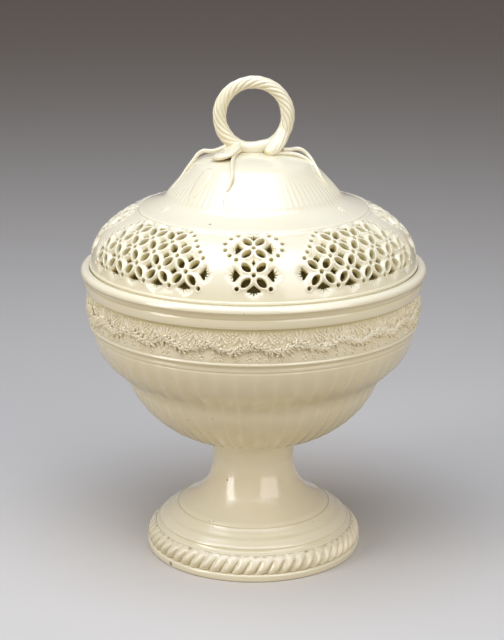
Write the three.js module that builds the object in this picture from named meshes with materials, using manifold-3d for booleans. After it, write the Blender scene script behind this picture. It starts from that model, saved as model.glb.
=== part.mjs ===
// A covered chestnut basket in cream-glazed earthenware: a footed bowl with an applied frieze,
// and a lift-off pierced cover with a rope ring handle and applied twigs.
// Units are millimetres. +Z is up, the front is -Y, and the origin is the centre of the foot's underside.
import * as THREE from "three";
import { mergeVertices } from "three/addons/utils/BufferGeometryUtils.js";
import Module from "manifold-3d";

const wasm = await Module();
wasm.setup();

// Resolution
const TURN_SIDES = 36; // sides of every turned piece
const CURVE_STEPS = 5; // straight pieces in each curved stretch of a profile

// Fits
const SEAT_GAP = 0.3; // slip joint between an applied piece and what carries it
const FLANGE_CLEARANCE = 0.6; // play between the cover's flange and the bowl's mouth
const EDGE_CLEARANCE = 0.4; // play between the cover's edge and the bowl's lip

// Foot
const OVERALL_HEIGHT = 280; // a taller object has a longer stem
const BASE_RADIUS = 63.4;
const BASE_RING_WIDTH = 10.4;
const PLINTH_HEIGHT = 4.2;
const PLINTH_CHAMFER = 0.6;
const CABLE_HEIGHT = 10.2;
const CABLE_DEPTH = 5.2;
const CABLE_TWIST_COUNT = 54;
const CABLE_GROOVE = 0.9; // depth of the furrows between the twists
const FOOT_GROOVE = 1.9; // drop and depth of the groove over the rope border
const STEP_HEIGHT = 8.6;
const STEP_WIDTH = 10.4;
const STEP_GROOVE = 0.8;
const STEM_RADIUS = 23.7;
const STEM_FLARE = 0.9; // how much the stem widens again under the bowl
const STEM_TOP_LENGTH = 13; // from the stem's thinnest place up to the bowl
const FOOT_WALL = 5.5;
const FOOT_WEB = 4.5; // thickness over the hollow of the foot

// Bowl
const BOWL_WALL = 4.2;
const BOWL_FLOOR = 6.5;
const BOWL_BASE_RADIUS = 25.6;
const LOWER_BOWL_HEIGHT = 35.5;
const LOWER_BOWL_RADIUS = 73;
const BOWL_WAIST_HEIGHT = 3.5;
const BOWL_WAIST_STEP = 2;
const UPPER_BOWL_HEIGHT = 30.6;
const FRIEZE_SETBACK = 4.2; // from the widest place of the lip in to the frieze wall
const BEAD_RADIUS = 1.2;
const FRIEZE_HEIGHT = 19.3;
const FILLET_HEIGHT = 4.4;
const FILLET_DEPTH = 1.7;
const COVE_HEIGHT = 2.2;
const COVE_DEPTH = 1.6;
const LIP_BEAD_RADIUS = 2.9;
const LIP_RADIUS = 99.5; // the widest place of the object
const LIP_THICKNESS = 2.2; // between the cover's edge and the round of the lip
const LEDGE_DEPTH = 2.9; // from the top of the lip down to the cover's seat
const LEDGE_WIDTH = 5.2;

// Frieze
const FRIEZE_REPEATS = 24;
const GARLAND_STEPS = 4; // steps in each repeat
const GARLAND_THICKNESS = 2;
const GARLAND_HALF_HEIGHT = 2.6;
const GARLAND_SWING = 1.6;
const GARLAND_RISE = 8; // from the bead to the garland's middle line
const SPRAY_HEIGHT = 6.2;
const SPRAY_WIDTH = 6.4;
const SPRAY_THICKNESS = 1.7;

// Cover
const COVER_WALL = 4;
const COVER_EDGE_HEIGHT = 4.8;
const FLANGE_DEPTH = 5.5;
const FLANGE_THICKNESS = 3;
const SHOULDER_HEIGHT = 29.9;
const SHOULDER_TOP_RADIUS = 68.5;
const COVER_GROOVE = 0.9;
const CROWN_FOOT_RADIUS = 47.6;
const CROWN_FOOT_RISE = 9.8; // from the shoulder's top to the foot of the bell
const CROWN_TOP_RADIUS = 34.2;
const CROWN_FLANK_HEIGHT = 16.4;
const CAVETTO_SPREAD = 7; // from the foot of the bell out to the middle of the hollow slope round it
const CROWN_DOME_HEIGHT = 6.3;

// Piercings of the cover
const PANEL_PAIRS = 4; // wide panels, with a narrow one between each two
const LATTICE_PITCH = THREE.MathUtils.degToRad(10.6);
const FIRST_ROW = 5.8; // along the shoulder, from the top of the cover's edge
const ROW_COUNT = 5;
const LAST_ROW = 1.4; // along the shoulder, from its top
const PETAL_LENGTH = 7;
const PETAL_WIDTH = 3.4;
const WIDE_PANEL_PETALS = [10, 10, 8, 6]; // petals between each two rows, from the lowest up
const NARROW_PANEL_PETALS = [2, 2, 2, 2];

// Ring handle
const RING_RADIUS = 18.9; // to the middle of the rope
const ROPE_RADIUS = 3.7;
const ROPE_STRAND_COUNT = 6;
const ROPE_LAY_COUNT = 3; // turns of each strand on its way round the ring
const ROPE_FURROW = 0.55;
const ROPE_STEPS = 4 * ROPE_STRAND_COUNT * ROPE_LAY_COUNT;
const ROPE_SIDES = 2 * ROPE_STRAND_COUNT;
const RING_SINK = 1.7; // how far the rope beds into the top of the crown
const ROPE_END_THICKNESS = 4.6;
const LEFT_END = { x: -14.6, y: -10.8, length: 20, width: 9.4, turn: 62 }; // turn in degrees from +X
const RIGHT_END = { x: 12.6, y: -6.8, length: 15, width: 6.6, turn: 10 };

// Twigs, leaves and rosettes on the crown
const TWIG_RADIUS = 1.4;
const TWIG_SIDES = 6;
const TWIG_STEPS = 12;
const BRANCH_ROOT = 22; // from the axis out to where the lying branch begins
const TWIG_ARCH = 1.6; // clear height of the arch over the crown's shoulder
const LEAF_LENGTH = 12.5;
const LEAF_WIDTH = 6.5;
const LEAF_THICKNESS = 1.6;
const ROSETTE_RADIUS = 3.2;
const ROSETTE_HEIGHT = 2;
const ROSETTE_PLACE = THREE.MathUtils.degToRad(27); // forward of the object's left and right

const creamGlaze = new THREE.MeshStandardMaterial({ color: 0xefe6c4, roughness: 0.22, metalness: 0 });
const reliefGlaze = new THREE.MeshStandardMaterial({ color: 0xece2bd, roughness: 0.26, metalness: 0 });
const handleGlaze = new THREE.MeshStandardMaterial({ color: 0xebe0ba, roughness: 0.24, metalness: 0 });

// Heights that follow from the sizes above
const bowlHeight = LOWER_BOWL_HEIGHT + BOWL_WAIST_HEIGHT + UPPER_BOWL_HEIGHT + 2 * BEAD_RADIUS + FRIEZE_HEIGHT
  + FILLET_HEIGHT + COVE_HEIGHT + 2 * LIP_BEAD_RADIUS;
const coverHeight = COVER_EDGE_HEIGHT + SHOULDER_HEIGHT + CROWN_FOOT_RISE + CROWN_FLANK_HEIGHT + CROWN_DOME_HEIGHT;
const ringHeight = 2 * (RING_RADIUS + ROPE_RADIUS) - RING_SINK;
const footHeight = OVERALL_HEIGHT - bowlHeight + LEDGE_DEPTH - coverHeight - ringHeight;
const stemWaist = footHeight - STEM_TOP_LENGTH;
const cableTop = PLINTH_HEIGHT + CABLE_HEIGHT;
const stepBottom = cableTop + FOOT_GROOVE;
const stepTop = stepBottom + STEP_HEIGHT;
const waistBottom = footHeight + LOWER_BOWL_HEIGHT;
const waistTop = waistBottom + BOWL_WAIST_HEIGHT;
const beadBottom = waistTop + UPPER_BOWL_HEIGHT;
const friezeBottom = beadBottom + 2 * BEAD_RADIUS;
const friezeTop = friezeBottom + FRIEZE_HEIGHT;
const filletTop = friezeTop + FILLET_HEIGHT;
const lipBottom = filletTop + COVE_HEIGHT;
const lipTop = lipBottom + 2 * LIP_BEAD_RADIUS;
const ledgeHeight = lipTop - LEDGE_DEPTH;
const edgeTop = ledgeHeight + COVER_EDGE_HEIGHT;
const shoulderTop = edgeTop + SHOULDER_HEIGHT;
const crownFoot = shoulderTop + CROWN_FOOT_RISE;
const crownShoulder = crownFoot + CROWN_FLANK_HEIGHT;
const crownTop = crownShoulder + CROWN_DOME_HEIGHT;
const ringMiddle = crownTop - RING_SINK + ROPE_RADIUS + RING_RADIUS;

// Radii that follow from the sizes above
const friezeRadius = LIP_RADIUS - FRIEZE_SETBACK;
const cableSeatRadius = BASE_RADIUS - CABLE_DEPTH;
const stepRadius = cableSeatRadius - FOOT_GROOVE;
const filletRadius = friezeRadius + FILLET_DEPTH;
const seatRadius = LIP_RADIUS - LIP_BEAD_RADIUS - LIP_THICKNESS;
const edgeRadius = seatRadius - EDGE_CLEARANCE;
const mouthRadius = seatRadius - LEDGE_WIDTH;
const flangeRadius = mouthRadius - FLANGE_CLEARANCE;

const point = (radius, height) => new THREE.Vector2(radius, height);

// A curved stretch of a profile, without its first point.
function bend(from, pullOut, pullIn, to, steps = CURVE_STEPS) {
  return new THREE.CubicBezierCurve(from, pullOut, pullIn, to).getPoints(steps).slice(1);
}

// A round stretch of a profile about a centre, from one angle to another, in degrees above the horizontal.
function round(centre, radius, from, to, steps = CURVE_STEPS) {
  const arc = [];
  for (let i = 0; i <= steps; i++) {
    const angle = THREE.MathUtils.degToRad(from + ((to - from) * i) / steps);
    arc.push(point(centre.x + radius * Math.cos(angle), centre.y + radius * Math.sin(angle)));
  }
  return arc;
}

// Turns a profile about the Z axis. The profile runs up the outside and down the inside.
function turned(profile) {
  return new THREE.LatheGeometry(profile, TURN_SIDES).rotateX(Math.PI / 2);
}

// A solid that manifold-3d can cut and join.
function solid(geometry) {
  const bare = geometry.clone();
  bare.deleteAttribute("normal");
  bare.deleteAttribute("uv");
  const merged = mergeVertices(bare, 1e-3);
  return new wasm.Manifold(
    new wasm.Mesh({
      numProp: 3,
      vertProperties: merged.attributes.position.array,
      triVerts: new Uint32Array(merged.index.array),
    }),
  );
}

// The three.js geometry of such a solid.
function geometryOf(body) {
  const mesh = body.getMesh();
  const geometry = new THREE.BufferGeometry();
  geometry.setAttribute("position", new THREE.BufferAttribute(mesh.vertProperties, 3));
  geometry.setIndex(new THREE.BufferAttribute(mesh.triVerts, 1));
  geometry.computeVertexNormals();
  return geometry;
}

// A closed ring through the sections that place(turn, corner) gives, turn and corner both from 0 to 1.
function loopGeometry(turns, corners, place) {
  const positions = [];
  const indices = [];
  for (let i = 0; i < turns; i++) {
    for (let j = 0; j < corners; j++) {
      positions.push(...place(i / turns, j / corners).toArray());
      const here = i * corners;
      const next = ((i + 1) % turns) * corners;
      const up = (j + 1) % corners;
      indices.push(here + j, next + j, next + up, here + j, next + up, here + up);
    }
  }
  const geometry = new THREE.BufferGeometry();
  geometry.setAttribute("position", new THREE.Float32BufferAttribute(positions, 3));
  geometry.setIndex(indices);
  return geometry;
}

// A point at a radius and a height, at an angle about the Z axis from +X.
function aboutAxis(radius, angle, height) {
  return new THREE.Vector3(radius * Math.cos(angle), radius * Math.sin(angle), height);
}

function pedestalFoot() {
  const hollowRadius = STEM_RADIUS - FOOT_WALL;
  const ringInside = BASE_RADIUS - BASE_RING_WIDTH;
  const hollowTop = footHeight - FOOT_WEB;
  const hollowNeck = point(hollowRadius, stemWaist - FOOT_WALL);
  const hollowFoot = point(ringInside, PLINTH_HEIGHT);
  const stepStart = point(stepRadius + STEP_GROOVE, stepBottom + STEP_GROOVE);
  const stepEnd = point(stepStart.x - STEP_WIDTH, stepTop);
  const flareStart = point(stepEnd.x - 2 * STEP_GROOVE, stepTop + STEP_GROOVE);
  const stemPoint = point(STEM_RADIUS, stemWaist);
  const flareWidth = flareStart.x - STEM_RADIUS;
  const flareHeight = stemWaist - flareStart.y;
  const inner = [
    point(0, hollowTop),
    point(hollowRadius, hollowTop),
    hollowNeck,
    ...bend(
      hollowNeck,
      point(hollowRadius, hollowNeck.y - 0.4 * flareHeight),
      point(ringInside - 0.6 * flareWidth, stepTop - FOOT_WALL),
      hollowFoot,
    ),
    point(ringInside, 0),
  ];
  const outer = [
    point(BASE_RADIUS - PLINTH_CHAMFER, 0),
    point(BASE_RADIUS, PLINTH_CHAMFER),
    point(BASE_RADIUS, PLINTH_HEIGHT - PLINTH_CHAMFER),
    point(BASE_RADIUS - PLINTH_CHAMFER, PLINTH_HEIGHT),
    point(cableSeatRadius, PLINTH_HEIGHT),
    point(cableSeatRadius, cableTop),
    point(stepRadius, stepBottom),
    stepStart,
    ...bend(
      stepStart,
      point(stepStart.x - 0.2 * STEP_WIDTH, stepStart.y + 0.22 * STEP_HEIGHT),
      point(stepEnd.x + 0.32 * STEP_WIDTH, stepTop - 0.24 * STEP_HEIGHT),
      stepEnd,
      4,
    ),
    point(stepEnd.x - STEP_GROOVE, stepTop),
    flareStart,
    ...bend(
      flareStart,
      point(flareStart.x - 0.6 * flareWidth, flareStart.y + 0.19 * flareHeight),
      point(STEM_RADIUS, stemWaist - 0.52 * flareHeight),
      stemPoint,
      6,
    ),
    point(STEM_RADIUS + STEM_FLARE, footHeight),
    point(0, footHeight),
  ];
  return turned([...inner, ...outer]);
}

// The rope border lies in its seat on the plinth, with slanting twists on its round face.
function footCableBorder() {
  const inside = cableSeatRadius + SEAT_GAP;
  const depth = CABLE_DEPTH - SEAT_GAP - PLINTH_CHAMFER;
  const height = CABLE_HEIGHT - SEAT_GAP;
  const corners = 6;
  return loopGeometry(2 * CABLE_TWIST_COUNT, corners, (turn, corner) => {
    const along = (corner * corners) / (corners - 1);
    const bulge = Math.sin(Math.PI * along);
    const slant = turn * CABLE_TWIST_COUNT - 0.9 * along;
    const furrow = CABLE_GROOVE * 0.5 * (1 + Math.cos(2 * Math.PI * slant));
    const radius = inside + Math.max(0, bulge) ** 0.6 * (depth - furrow);
    return aboutAxis(radius, 2 * Math.PI * turn, PLINTH_HEIGHT + height * along);
  });
}

function bowl() {
  const baseCorner = point(BOWL_BASE_RADIUS, footHeight);
  const lowerWidth = LOWER_BOWL_RADIUS - BOWL_BASE_RADIUS;
  const lowerTop = point(LOWER_BOWL_RADIUS, waistBottom);
  const upperStart = point(LOWER_BOWL_RADIUS + BOWL_WAIST_STEP, waistTop);
  const upperEnd = point(friezeRadius - BEAD_RADIUS, beadBottom);
  const upperWidth = upperEnd.x - upperStart.x;
  const beadMiddle = point(friezeRadius - BEAD_RADIUS, beadBottom + BEAD_RADIUS);
  const lipMiddle = point(LIP_RADIUS - LIP_BEAD_RADIUS, lipBottom + LIP_BEAD_RADIUS);
  const coveRadius = filletRadius - COVE_DEPTH;
  const outer = [
    point(0, footHeight),
    baseCorner,
    ...bend(
      baseCorner,
      point(BOWL_BASE_RADIUS + 0.45 * lowerWidth, footHeight + 0.03 * LOWER_BOWL_HEIGHT),
      point(LOWER_BOWL_RADIUS - 0.15 * lowerWidth, footHeight + 0.55 * LOWER_BOWL_HEIGHT),
      lowerTop,
    ),
    point(LOWER_BOWL_RADIUS, waistBottom + 0.5 * BOWL_WAIST_HEIGHT),
    upperStart,
    ...bend(
      upperStart,
      point(upperStart.x + 0.42 * upperWidth, waistTop + 0.23 * UPPER_BOWL_HEIGHT),
      point(upperEnd.x - 0.08 * upperWidth, waistTop + 0.5 * UPPER_BOWL_HEIGHT),
      upperEnd,
      4,
    ),
    ...round(beadMiddle, BEAD_RADIUS, -60, 60, 2),
    point(friezeRadius, friezeBottom),
    point(friezeRadius, friezeTop),
    point(filletRadius, friezeTop),
    point(filletRadius, filletTop),
    point(coveRadius, filletTop + 0.5 * COVE_HEIGHT),
    ...round(lipMiddle, LIP_BEAD_RADIUS, -80, 90),
    point(seatRadius, lipTop),
    point(seatRadius, ledgeHeight),
  ];
  const innerTop = point(mouthRadius, lipBottom - FLANGE_DEPTH);
  const bellyRadius = friezeRadius - BOWL_WALL;
  const belly = point(bellyRadius, friezeBottom);
  const waist = point(LOWER_BOWL_RADIUS - BOWL_WALL, waistBottom + 0.5 * BOWL_WALL);
  const floorEdge = point(BOWL_BASE_RADIUS, footHeight + BOWL_FLOOR);
  const inner = [
    point(mouthRadius, ledgeHeight),
    innerTop,
    point(bellyRadius, friezeTop - FLANGE_DEPTH),
    belly,
    ...bend(
      belly,
      point(bellyRadius, friezeBottom - 0.45 * UPPER_BOWL_HEIGHT),
      point(waist.x + 0.4 * upperWidth, waistTop + 0.25 * UPPER_BOWL_HEIGHT),
      waist,
      3,
    ),
    ...bend(
      waist,
      point(waist.x - 0.1 * lowerWidth, footHeight + 0.6 * LOWER_BOWL_HEIGHT),
      point(BOWL_BASE_RADIUS + 0.42 * lowerWidth, footHeight + BOWL_FLOOR),
      floorEdge,
      4,
    ),
    point(0, footHeight + BOWL_FLOOR),
  ];
  return turned([...outer, ...inner]);
}

// The garland is a flat strip that swings up and down round the frieze.
function friezeGarland() {
  const inside = friezeRadius + SEAT_GAP;
  const middle = friezeBottom + GARLAND_RISE;
  const outline = [
    point(0, -GARLAND_HALF_HEIGHT),
    point(GARLAND_THICKNESS, -0.5 * GARLAND_HALF_HEIGHT),
    point(GARLAND_THICKNESS, 0.5 * GARLAND_HALF_HEIGHT),
    point(0, GARLAND_HALF_HEIGHT),
  ];
  return loopGeometry(FRIEZE_REPEATS * GARLAND_STEPS, outline.length, (turn, corner) => {
    const spot = outline[Math.round(corner * outline.length)];
    const swing = GARLAND_SWING * Math.cos(2 * Math.PI * turn * FRIEZE_REPEATS);
    return aboutAxis(inside + spot.x, 2 * Math.PI * turn, middle + swing + spot.y);
  });
}

// A leaf outline that stands on its stalk at the origin and points along +Y.
function leafShape(length, width) {
  const leaf = new THREE.Shape();
  leaf.moveTo(0, 0);
  leaf.quadraticCurveTo(0.65 * width, 0.3 * length, 0.2 * width, 0.75 * length);
  leaf.lineTo(0, length);
  leaf.lineTo(-0.2 * width, 0.75 * length);
  leaf.quadraticCurveTo(-0.65 * width, 0.3 * length, 0, 0);
  return leaf;
}

// Three upright leaves from one root, for the frieze.
function sprayShape() {
  const half = 0.5 * SPRAY_WIDTH;
  const spray = new THREE.Shape();
  spray.moveTo(-0.25 * half, 0);
  spray.lineTo(0.25 * half, 0);
  spray.lineTo(half, 0.62 * SPRAY_HEIGHT);
  spray.lineTo(0.42 * half, 0.55 * SPRAY_HEIGHT);
  spray.lineTo(0.3 * half, SPRAY_HEIGHT);
  spray.lineTo(-0.3 * half, SPRAY_HEIGHT);
  spray.lineTo(-0.42 * half, 0.55 * SPRAY_HEIGHT);
  spray.lineTo(-half, 0.62 * SPRAY_HEIGHT);
  spray.closePath();
  return spray;
}

function plate(shape, thickness) {
  return new THREE.ExtrudeGeometry(shape, { depth: thickness, bevelEnabled: false, curveSegments: 4 });
}

// The curve of the pierced shoulder, from the top of the cover's edge to the groove round the crown.
const shoulderCurve = new THREE.CubicBezierCurve(
  point(edgeRadius, edgeTop),
  point(edgeRadius - 0.045 * (edgeRadius - SHOULDER_TOP_RADIUS), edgeTop + 0.46 * SHOULDER_HEIGHT),
  point(SHOULDER_TOP_RADIUS + 0.6 * (edgeRadius - SHOULDER_TOP_RADIUS), edgeTop + 0.76 * SHOULDER_HEIGHT),
  point(SHOULDER_TOP_RADIUS, shoulderTop),
);
const rowStep = (shoulderCurve.getLength() - FIRST_ROW - LAST_ROW) / (ROW_COUNT - 1);

// The outside of the crown, from the foot of its bell to the axis.
function crownOutline() {
  const foot = point(CROWN_FOOT_RADIUS, crownFoot);
  const shoulder = point(CROWN_TOP_RADIUS, crownShoulder);
  const spread = foot.x - shoulder.x;
  return [
    foot,
    ...bend(
      foot,
      point(foot.x - 0.15 * spread, foot.y + 0.25 * CROWN_FLANK_HEIGHT),
      point(shoulder.x + 0.3 * spread, shoulder.y - 0.28 * CROWN_FLANK_HEIGHT),
      shoulder,
      3,
    ),
    ...bend(
      shoulder,
      point(0.9 * CROWN_TOP_RADIUS, crownShoulder + 0.45 * CROWN_DOME_HEIGHT),
      point(0.55 * CROWN_TOP_RADIUS, crownTop),
      point(0, crownTop),
      5,
    ),
  ];
}

function coverShell() {
  const grooveRadius = SHOULDER_TOP_RADIUS - 2 * COVER_GROOVE;
  const cavettoStart = point(grooveRadius - COVER_GROOVE, shoulderTop + COVER_GROOVE);
  const outer = [
    point(edgeRadius, ledgeHeight),
    ...shoulderCurve.getPoints(CURVE_STEPS),
    point(grooveRadius, shoulderTop),
    cavettoStart,
    ...bend(
      cavettoStart,
      point(CROWN_FOOT_RADIUS + CAVETTO_SPREAD, cavettoStart.y + 0.4 * CROWN_FOOT_RISE),
      point(CROWN_FOOT_RADIUS + 0.2 * CAVETTO_SPREAD, cavettoStart.y + 0.5 * CROWN_FOOT_RISE),
      point(CROWN_FOOT_RADIUS, crownFoot),
      3,
    ),
    ...crownOutline().slice(1),
  ];
  const flangeInside = flangeRadius - FLANGE_THICKNESS;
  const bellFoot = point(CROWN_FOOT_RADIUS - 0.9 * COVER_WALL, crownFoot - 0.7 * COVER_WALL);
  const bellTop = point(CROWN_TOP_RADIUS - 0.8 * COVER_WALL, crownShoulder - 0.8 * COVER_WALL);
  const shoulderInside = point(SHOULDER_TOP_RADIUS - 0.35 * COVER_WALL, shoulderTop - COVER_WALL);
  const edgeInside = point(edgeRadius - COVER_WALL, edgeTop);
  const inner = [
    point(0, crownTop - COVER_WALL),
    ...bend(
      point(0, crownTop - COVER_WALL),
      point(0.5 * CROWN_TOP_RADIUS, crownTop - COVER_WALL),
      point(0.85 * bellTop.x, bellTop.y + 0.4 * CROWN_DOME_HEIGHT),
      bellTop,
      3,
    ),
    bellFoot,
    point(CROWN_FOOT_RADIUS + 0.5 * COVER_WALL, crownFoot - 1.6 * COVER_WALL),
    shoulderInside,
    ...bend(
      shoulderInside,
      point(SHOULDER_TOP_RADIUS + 0.5 * (edgeInside.x - SHOULDER_TOP_RADIUS), edgeTop + 0.68 * SHOULDER_HEIGHT),
      point(edgeInside.x - 0.4, edgeTop + 0.42 * SHOULDER_HEIGHT),
      edgeInside,
      4,
    ),
    point(flangeInside, ledgeHeight),
    point(flangeInside, ledgeHeight - FLANGE_DEPTH),
    point(flangeRadius, ledgeHeight - FLANGE_DEPTH),
    point(flangeRadius, ledgeHeight),
  ];
  return geometryOf(solid(turned([...inner, ...outer])).subtract(piercings()));
}

// A petal-shaped cutter that runs from one lattice point towards the next, square to the shoulder.
function petalCutter(from, to) {
  const along = (from.row + to.row) / 2;
  const angle = (from.angle + to.angle) / 2;
  const share = (FIRST_ROW + rowStep * along) / shoulderCurve.getLength();
  const spot = shoulderCurve.getPointAt(share);
  const slope = shoulderCurve.getTangentAt(share);
  const outline = new THREE.Shape();
  outline.moveTo(-PETAL_LENGTH / 2, 0);
  outline.lineTo(0, -PETAL_WIDTH / 2);
  outline.lineTo(PETAL_LENGTH / 2, 0);
  outline.lineTo(0, PETAL_WIDTH / 2);
  outline.closePath();
  const geometry = plate(outline, 4 * COVER_WALL).translate(0, 0, -2.5 * COVER_WALL);
  const around = aboutAxis(1, angle + Math.PI / 2, 0);
  const up = aboutAxis(slope.x, angle, slope.y);
  const out = aboutAxis(slope.y, angle, -slope.x);
  const turn = Math.atan2(rowStep * (to.row - from.row), spot.x * (to.angle - from.angle));
  geometry.rotateZ(turn);
  geometry.applyMatrix4(new THREE.Matrix4().makeBasis(around, up, out));
  return solid(geometry.translate(...aboutAxis(spot.x, angle, spot.y).toArray()));
}

// The petals of a panel lean left and right in turn, so that each two rows of them make flowers and diamonds.
function panelPetals(middle, counts) {
  return counts.flatMap((count, row) =>
    Array.from({ length: count }, (_, i) => {
      const place = i - (count - 1) / 2;
      const angle = middle + (place * LATTICE_PITCH) / 2;
      const lean = (Math.floor(place) + row) % 2 === 0 ? -LATTICE_PITCH / 4 : LATTICE_PITCH / 4;
      return petalCutter({ row, angle: angle - lean }, { row: row + 1, angle: angle + lean });
    }),
  );
}

function piercings() {
  const cutters = [];
  for (let i = 0; i < PANEL_PAIRS; i++) {
    const narrow = (2 * Math.PI * i) / PANEL_PAIRS;
    cutters.push(...panelPetals(narrow, NARROW_PANEL_PETALS));
    cutters.push(...panelPetals(narrow + Math.PI / PANEL_PAIRS, WIDE_PANEL_PETALS));
  }
  return cutters.reduce((all, cutter) => all.add(cutter));
}

// The crown with a skin of the seat gap over it, which shapes the undersides of what lies on it.
const crownSpace = solid(
  turned([
    point(0, shoulderTop - COVER_WALL),
    point(SHOULDER_TOP_RADIUS, shoulderTop - COVER_WALL),
    point(SHOULDER_TOP_RADIUS, shoulderTop + COVER_GROOVE + SEAT_GAP),
    point(CROWN_FOOT_RADIUS + CAVETTO_SPREAD + SEAT_GAP, shoulderTop + 0.55 * CROWN_FOOT_RISE + SEAT_GAP),
    ...crownOutline().map((spot) => point(spot.x && spot.x + SEAT_GAP, spot.y + SEAT_GAP)),
  ]),
);

function ringHandle() {
  const rope = loopGeometry(ROPE_STEPS, ROPE_SIDES, (turn, corner) => {
    const angle = 2 * Math.PI * turn;
    const spin = 2 * Math.PI * corner;
    const lobe = Math.cos(ROPE_STRAND_COUNT * spin - ROPE_STRAND_COUNT * ROPE_LAY_COUNT * angle);
    const thick = ROPE_RADIUS - 0.5 * ROPE_FURROW * (1 - lobe);
    const reach = RING_RADIUS + thick * Math.cos(spin);
    return new THREE.Vector3(reach * Math.cos(angle), -thick * Math.sin(spin), ringMiddle + reach * Math.sin(angle));
  });
  return geometryOf(solid(rope).subtract(crownSpace));
}

// One tail of the rope, flattened onto the crown in front of the ring.
function ropeEnd({ x, y, length, width, turn }) {
  const lobe = new THREE.SphereGeometry(0.5, 14, 8);
  lobe.scale(length, width, ROPE_END_THICKNESS);
  lobe.rotateZ(THREE.MathUtils.degToRad(turn));
  lobe.translate(x, y, crownTop + 0.15 * ROPE_END_THICKNESS);
  const ringSpace = new THREE.TorusGeometry(RING_RADIUS, ROPE_RADIUS + SEAT_GAP, 12, 48);
  ringSpace.rotateX(Math.PI / 2).translate(0, 0, ringMiddle);
  return geometryOf(solid(lobe).subtract(crownSpace).subtract(solid(ringSpace)));
}

// The middle line of a twig that springs from the foot of the ring, arches over the crown's shoulder
// and lies on its flank.
function archingLine() {
  const lift = TWIG_RADIUS + SEAT_GAP;
  return [
    point(0.66 * CROWN_TOP_RADIUS, crownTop + 0.6 * lift),
    point(0.86 * CROWN_TOP_RADIUS, crownTop + lift + 0.5 * TWIG_ARCH),
    point(CROWN_TOP_RADIUS + 0.7 * lift, crownShoulder + 1.6 * lift + TWIG_ARCH),
    point(0.5 * (CROWN_TOP_RADIUS + CROWN_FOOT_RADIUS) + lift, 0.5 * (crownShoulder + crownFoot) + lift),
    point(CROWN_FOOT_RADIUS + 0.7 * lift, crownFoot + 0.7 * lift),
  ];
}

// The middle line of a twig that lies on the crown all the way, from beside the ring to halfway down the flank.
function lyingLine() {
  const bedded = 0.5 * TWIG_RADIUS;
  const root = point(BRANCH_ROOT, crownTop - 0.25 * CROWN_DOME_HEIGHT);
  return [root, ...crownOutline().slice(2, 6).reverse()].map((spot) => point(spot.x, spot.y + bedded));
}

// A twig along a middle line, which turns from one angle to another on its way, in degrees from +X.
function twig(stations, startAngle, endAngle) {
  const path = new THREE.CatmullRomCurve3(
    stations.map((spot, i) => {
      const share = i / (stations.length - 1);
      const angle = THREE.MathUtils.degToRad(THREE.MathUtils.lerp(startAngle, endAngle, share));
      return aboutAxis(spot.x, angle, spot.y);
    }),
  );
  const section = new THREE.Shape();
  for (let i = 0; i < TWIG_SIDES; i++) {
    const corner = (2 * Math.PI * i) / TWIG_SIDES;
    const action = i === 0 ? "moveTo" : "lineTo";
    section[action](TWIG_RADIUS * Math.cos(corner), TWIG_RADIUS * Math.sin(corner));
  }
  section.closePath();
  const tube = new THREE.ExtrudeGeometry(section, { steps: TWIG_STEPS, extrudePath: path, bevelEnabled: false });
  return geometryOf(solid(tube).subtract(crownSpace));
}

// A leaf that lies on the crown's flank and points down it, at an angle in degrees from +X.
// Its stalk is at a share of the flank's height.
function crownLeaf(degrees, share) {
  const angle = THREE.MathUtils.degToRad(degrees);
  const leaf = plate(leafShape(LEAF_LENGTH, LEAF_WIDTH), LEAF_THICKNESS);
  const run = point(CROWN_TOP_RADIUS - CROWN_FOOT_RADIUS, CROWN_FLANK_HEIGHT).normalize();
  const around = aboutAxis(-1, angle + Math.PI / 2, 0);
  const down = aboutAxis(-run.x, angle, -run.y);
  const out = aboutAxis(run.y, angle, -run.x);
  leaf.applyMatrix4(new THREE.Matrix4().makeBasis(around, down, out));
  const radius = THREE.MathUtils.lerp(CROWN_FOOT_RADIUS, CROWN_TOP_RADIUS, share);
  const height = crownFoot + share * CROWN_FLANK_HEIGHT;
  leaf.translate(...aboutAxis(radius, angle, height).toArray());
  return geometryOf(solid(leaf).subtract(crownSpace));
}

// A small flower boss on the slope between the crown and the pierced shoulder.
function rosette(angle) {
  const boss = new THREE.SphereGeometry(ROSETTE_RADIUS, 10, 6);
  boss.scale(1, 1, ROSETTE_HEIGHT / ROSETTE_RADIUS);
  const radius = CROWN_FOOT_RADIUS + CAVETTO_SPREAD;
  boss.translate(...aboutAxis(radius, angle, shoulderTop + 0.55 * CROWN_FOOT_RISE + 2 * SEAT_GAP).toArray());
  return geometryOf(solid(boss).subtract(crownSpace));
}

const basket = new THREE.Group();
const cover = new THREE.Group();
const chestnutBasket = new THREE.Group();
chestnutBasket.add(basket, cover);

function add(group, name, geometry, material) {
  const mesh = new THREE.Mesh(geometry, material);
  mesh.name = name;
  group.add(mesh);
  return mesh;
}

add(basket, "pedestal_foot", pedestalFoot(), creamGlaze);
add(basket, "foot_cable_border", footCableBorder(), reliefGlaze);
add(basket, "bowl", bowl(), creamGlaze);
add(basket, "frieze_garland", friezeGarland(), reliefGlaze);

const sprayBottom = friezeBottom + GARLAND_RISE + GARLAND_HALF_HEIGHT + GARLAND_SWING + SEAT_GAP;
for (let i = 0; i < FRIEZE_REPEATS; i++) {
  const number = String(i + 1).padStart(2, "0");
  const angle = (2 * Math.PI * i) / FRIEZE_REPEATS;
  const spray = plate(sprayShape(), SPRAY_THICKNESS);
  spray.applyMatrix4(
    new THREE.Matrix4().makeBasis(
      aboutAxis(1, angle + Math.PI / 2, 0),
      new THREE.Vector3(0, 0, 1),
      aboutAxis(1, angle, 0),
    ),
  );
  spray.translate(...aboutAxis(friezeRadius + SEAT_GAP, angle, sprayBottom).toArray());
  add(basket, "frieze_spray_" + number, spray, reliefGlaze);
}

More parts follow.
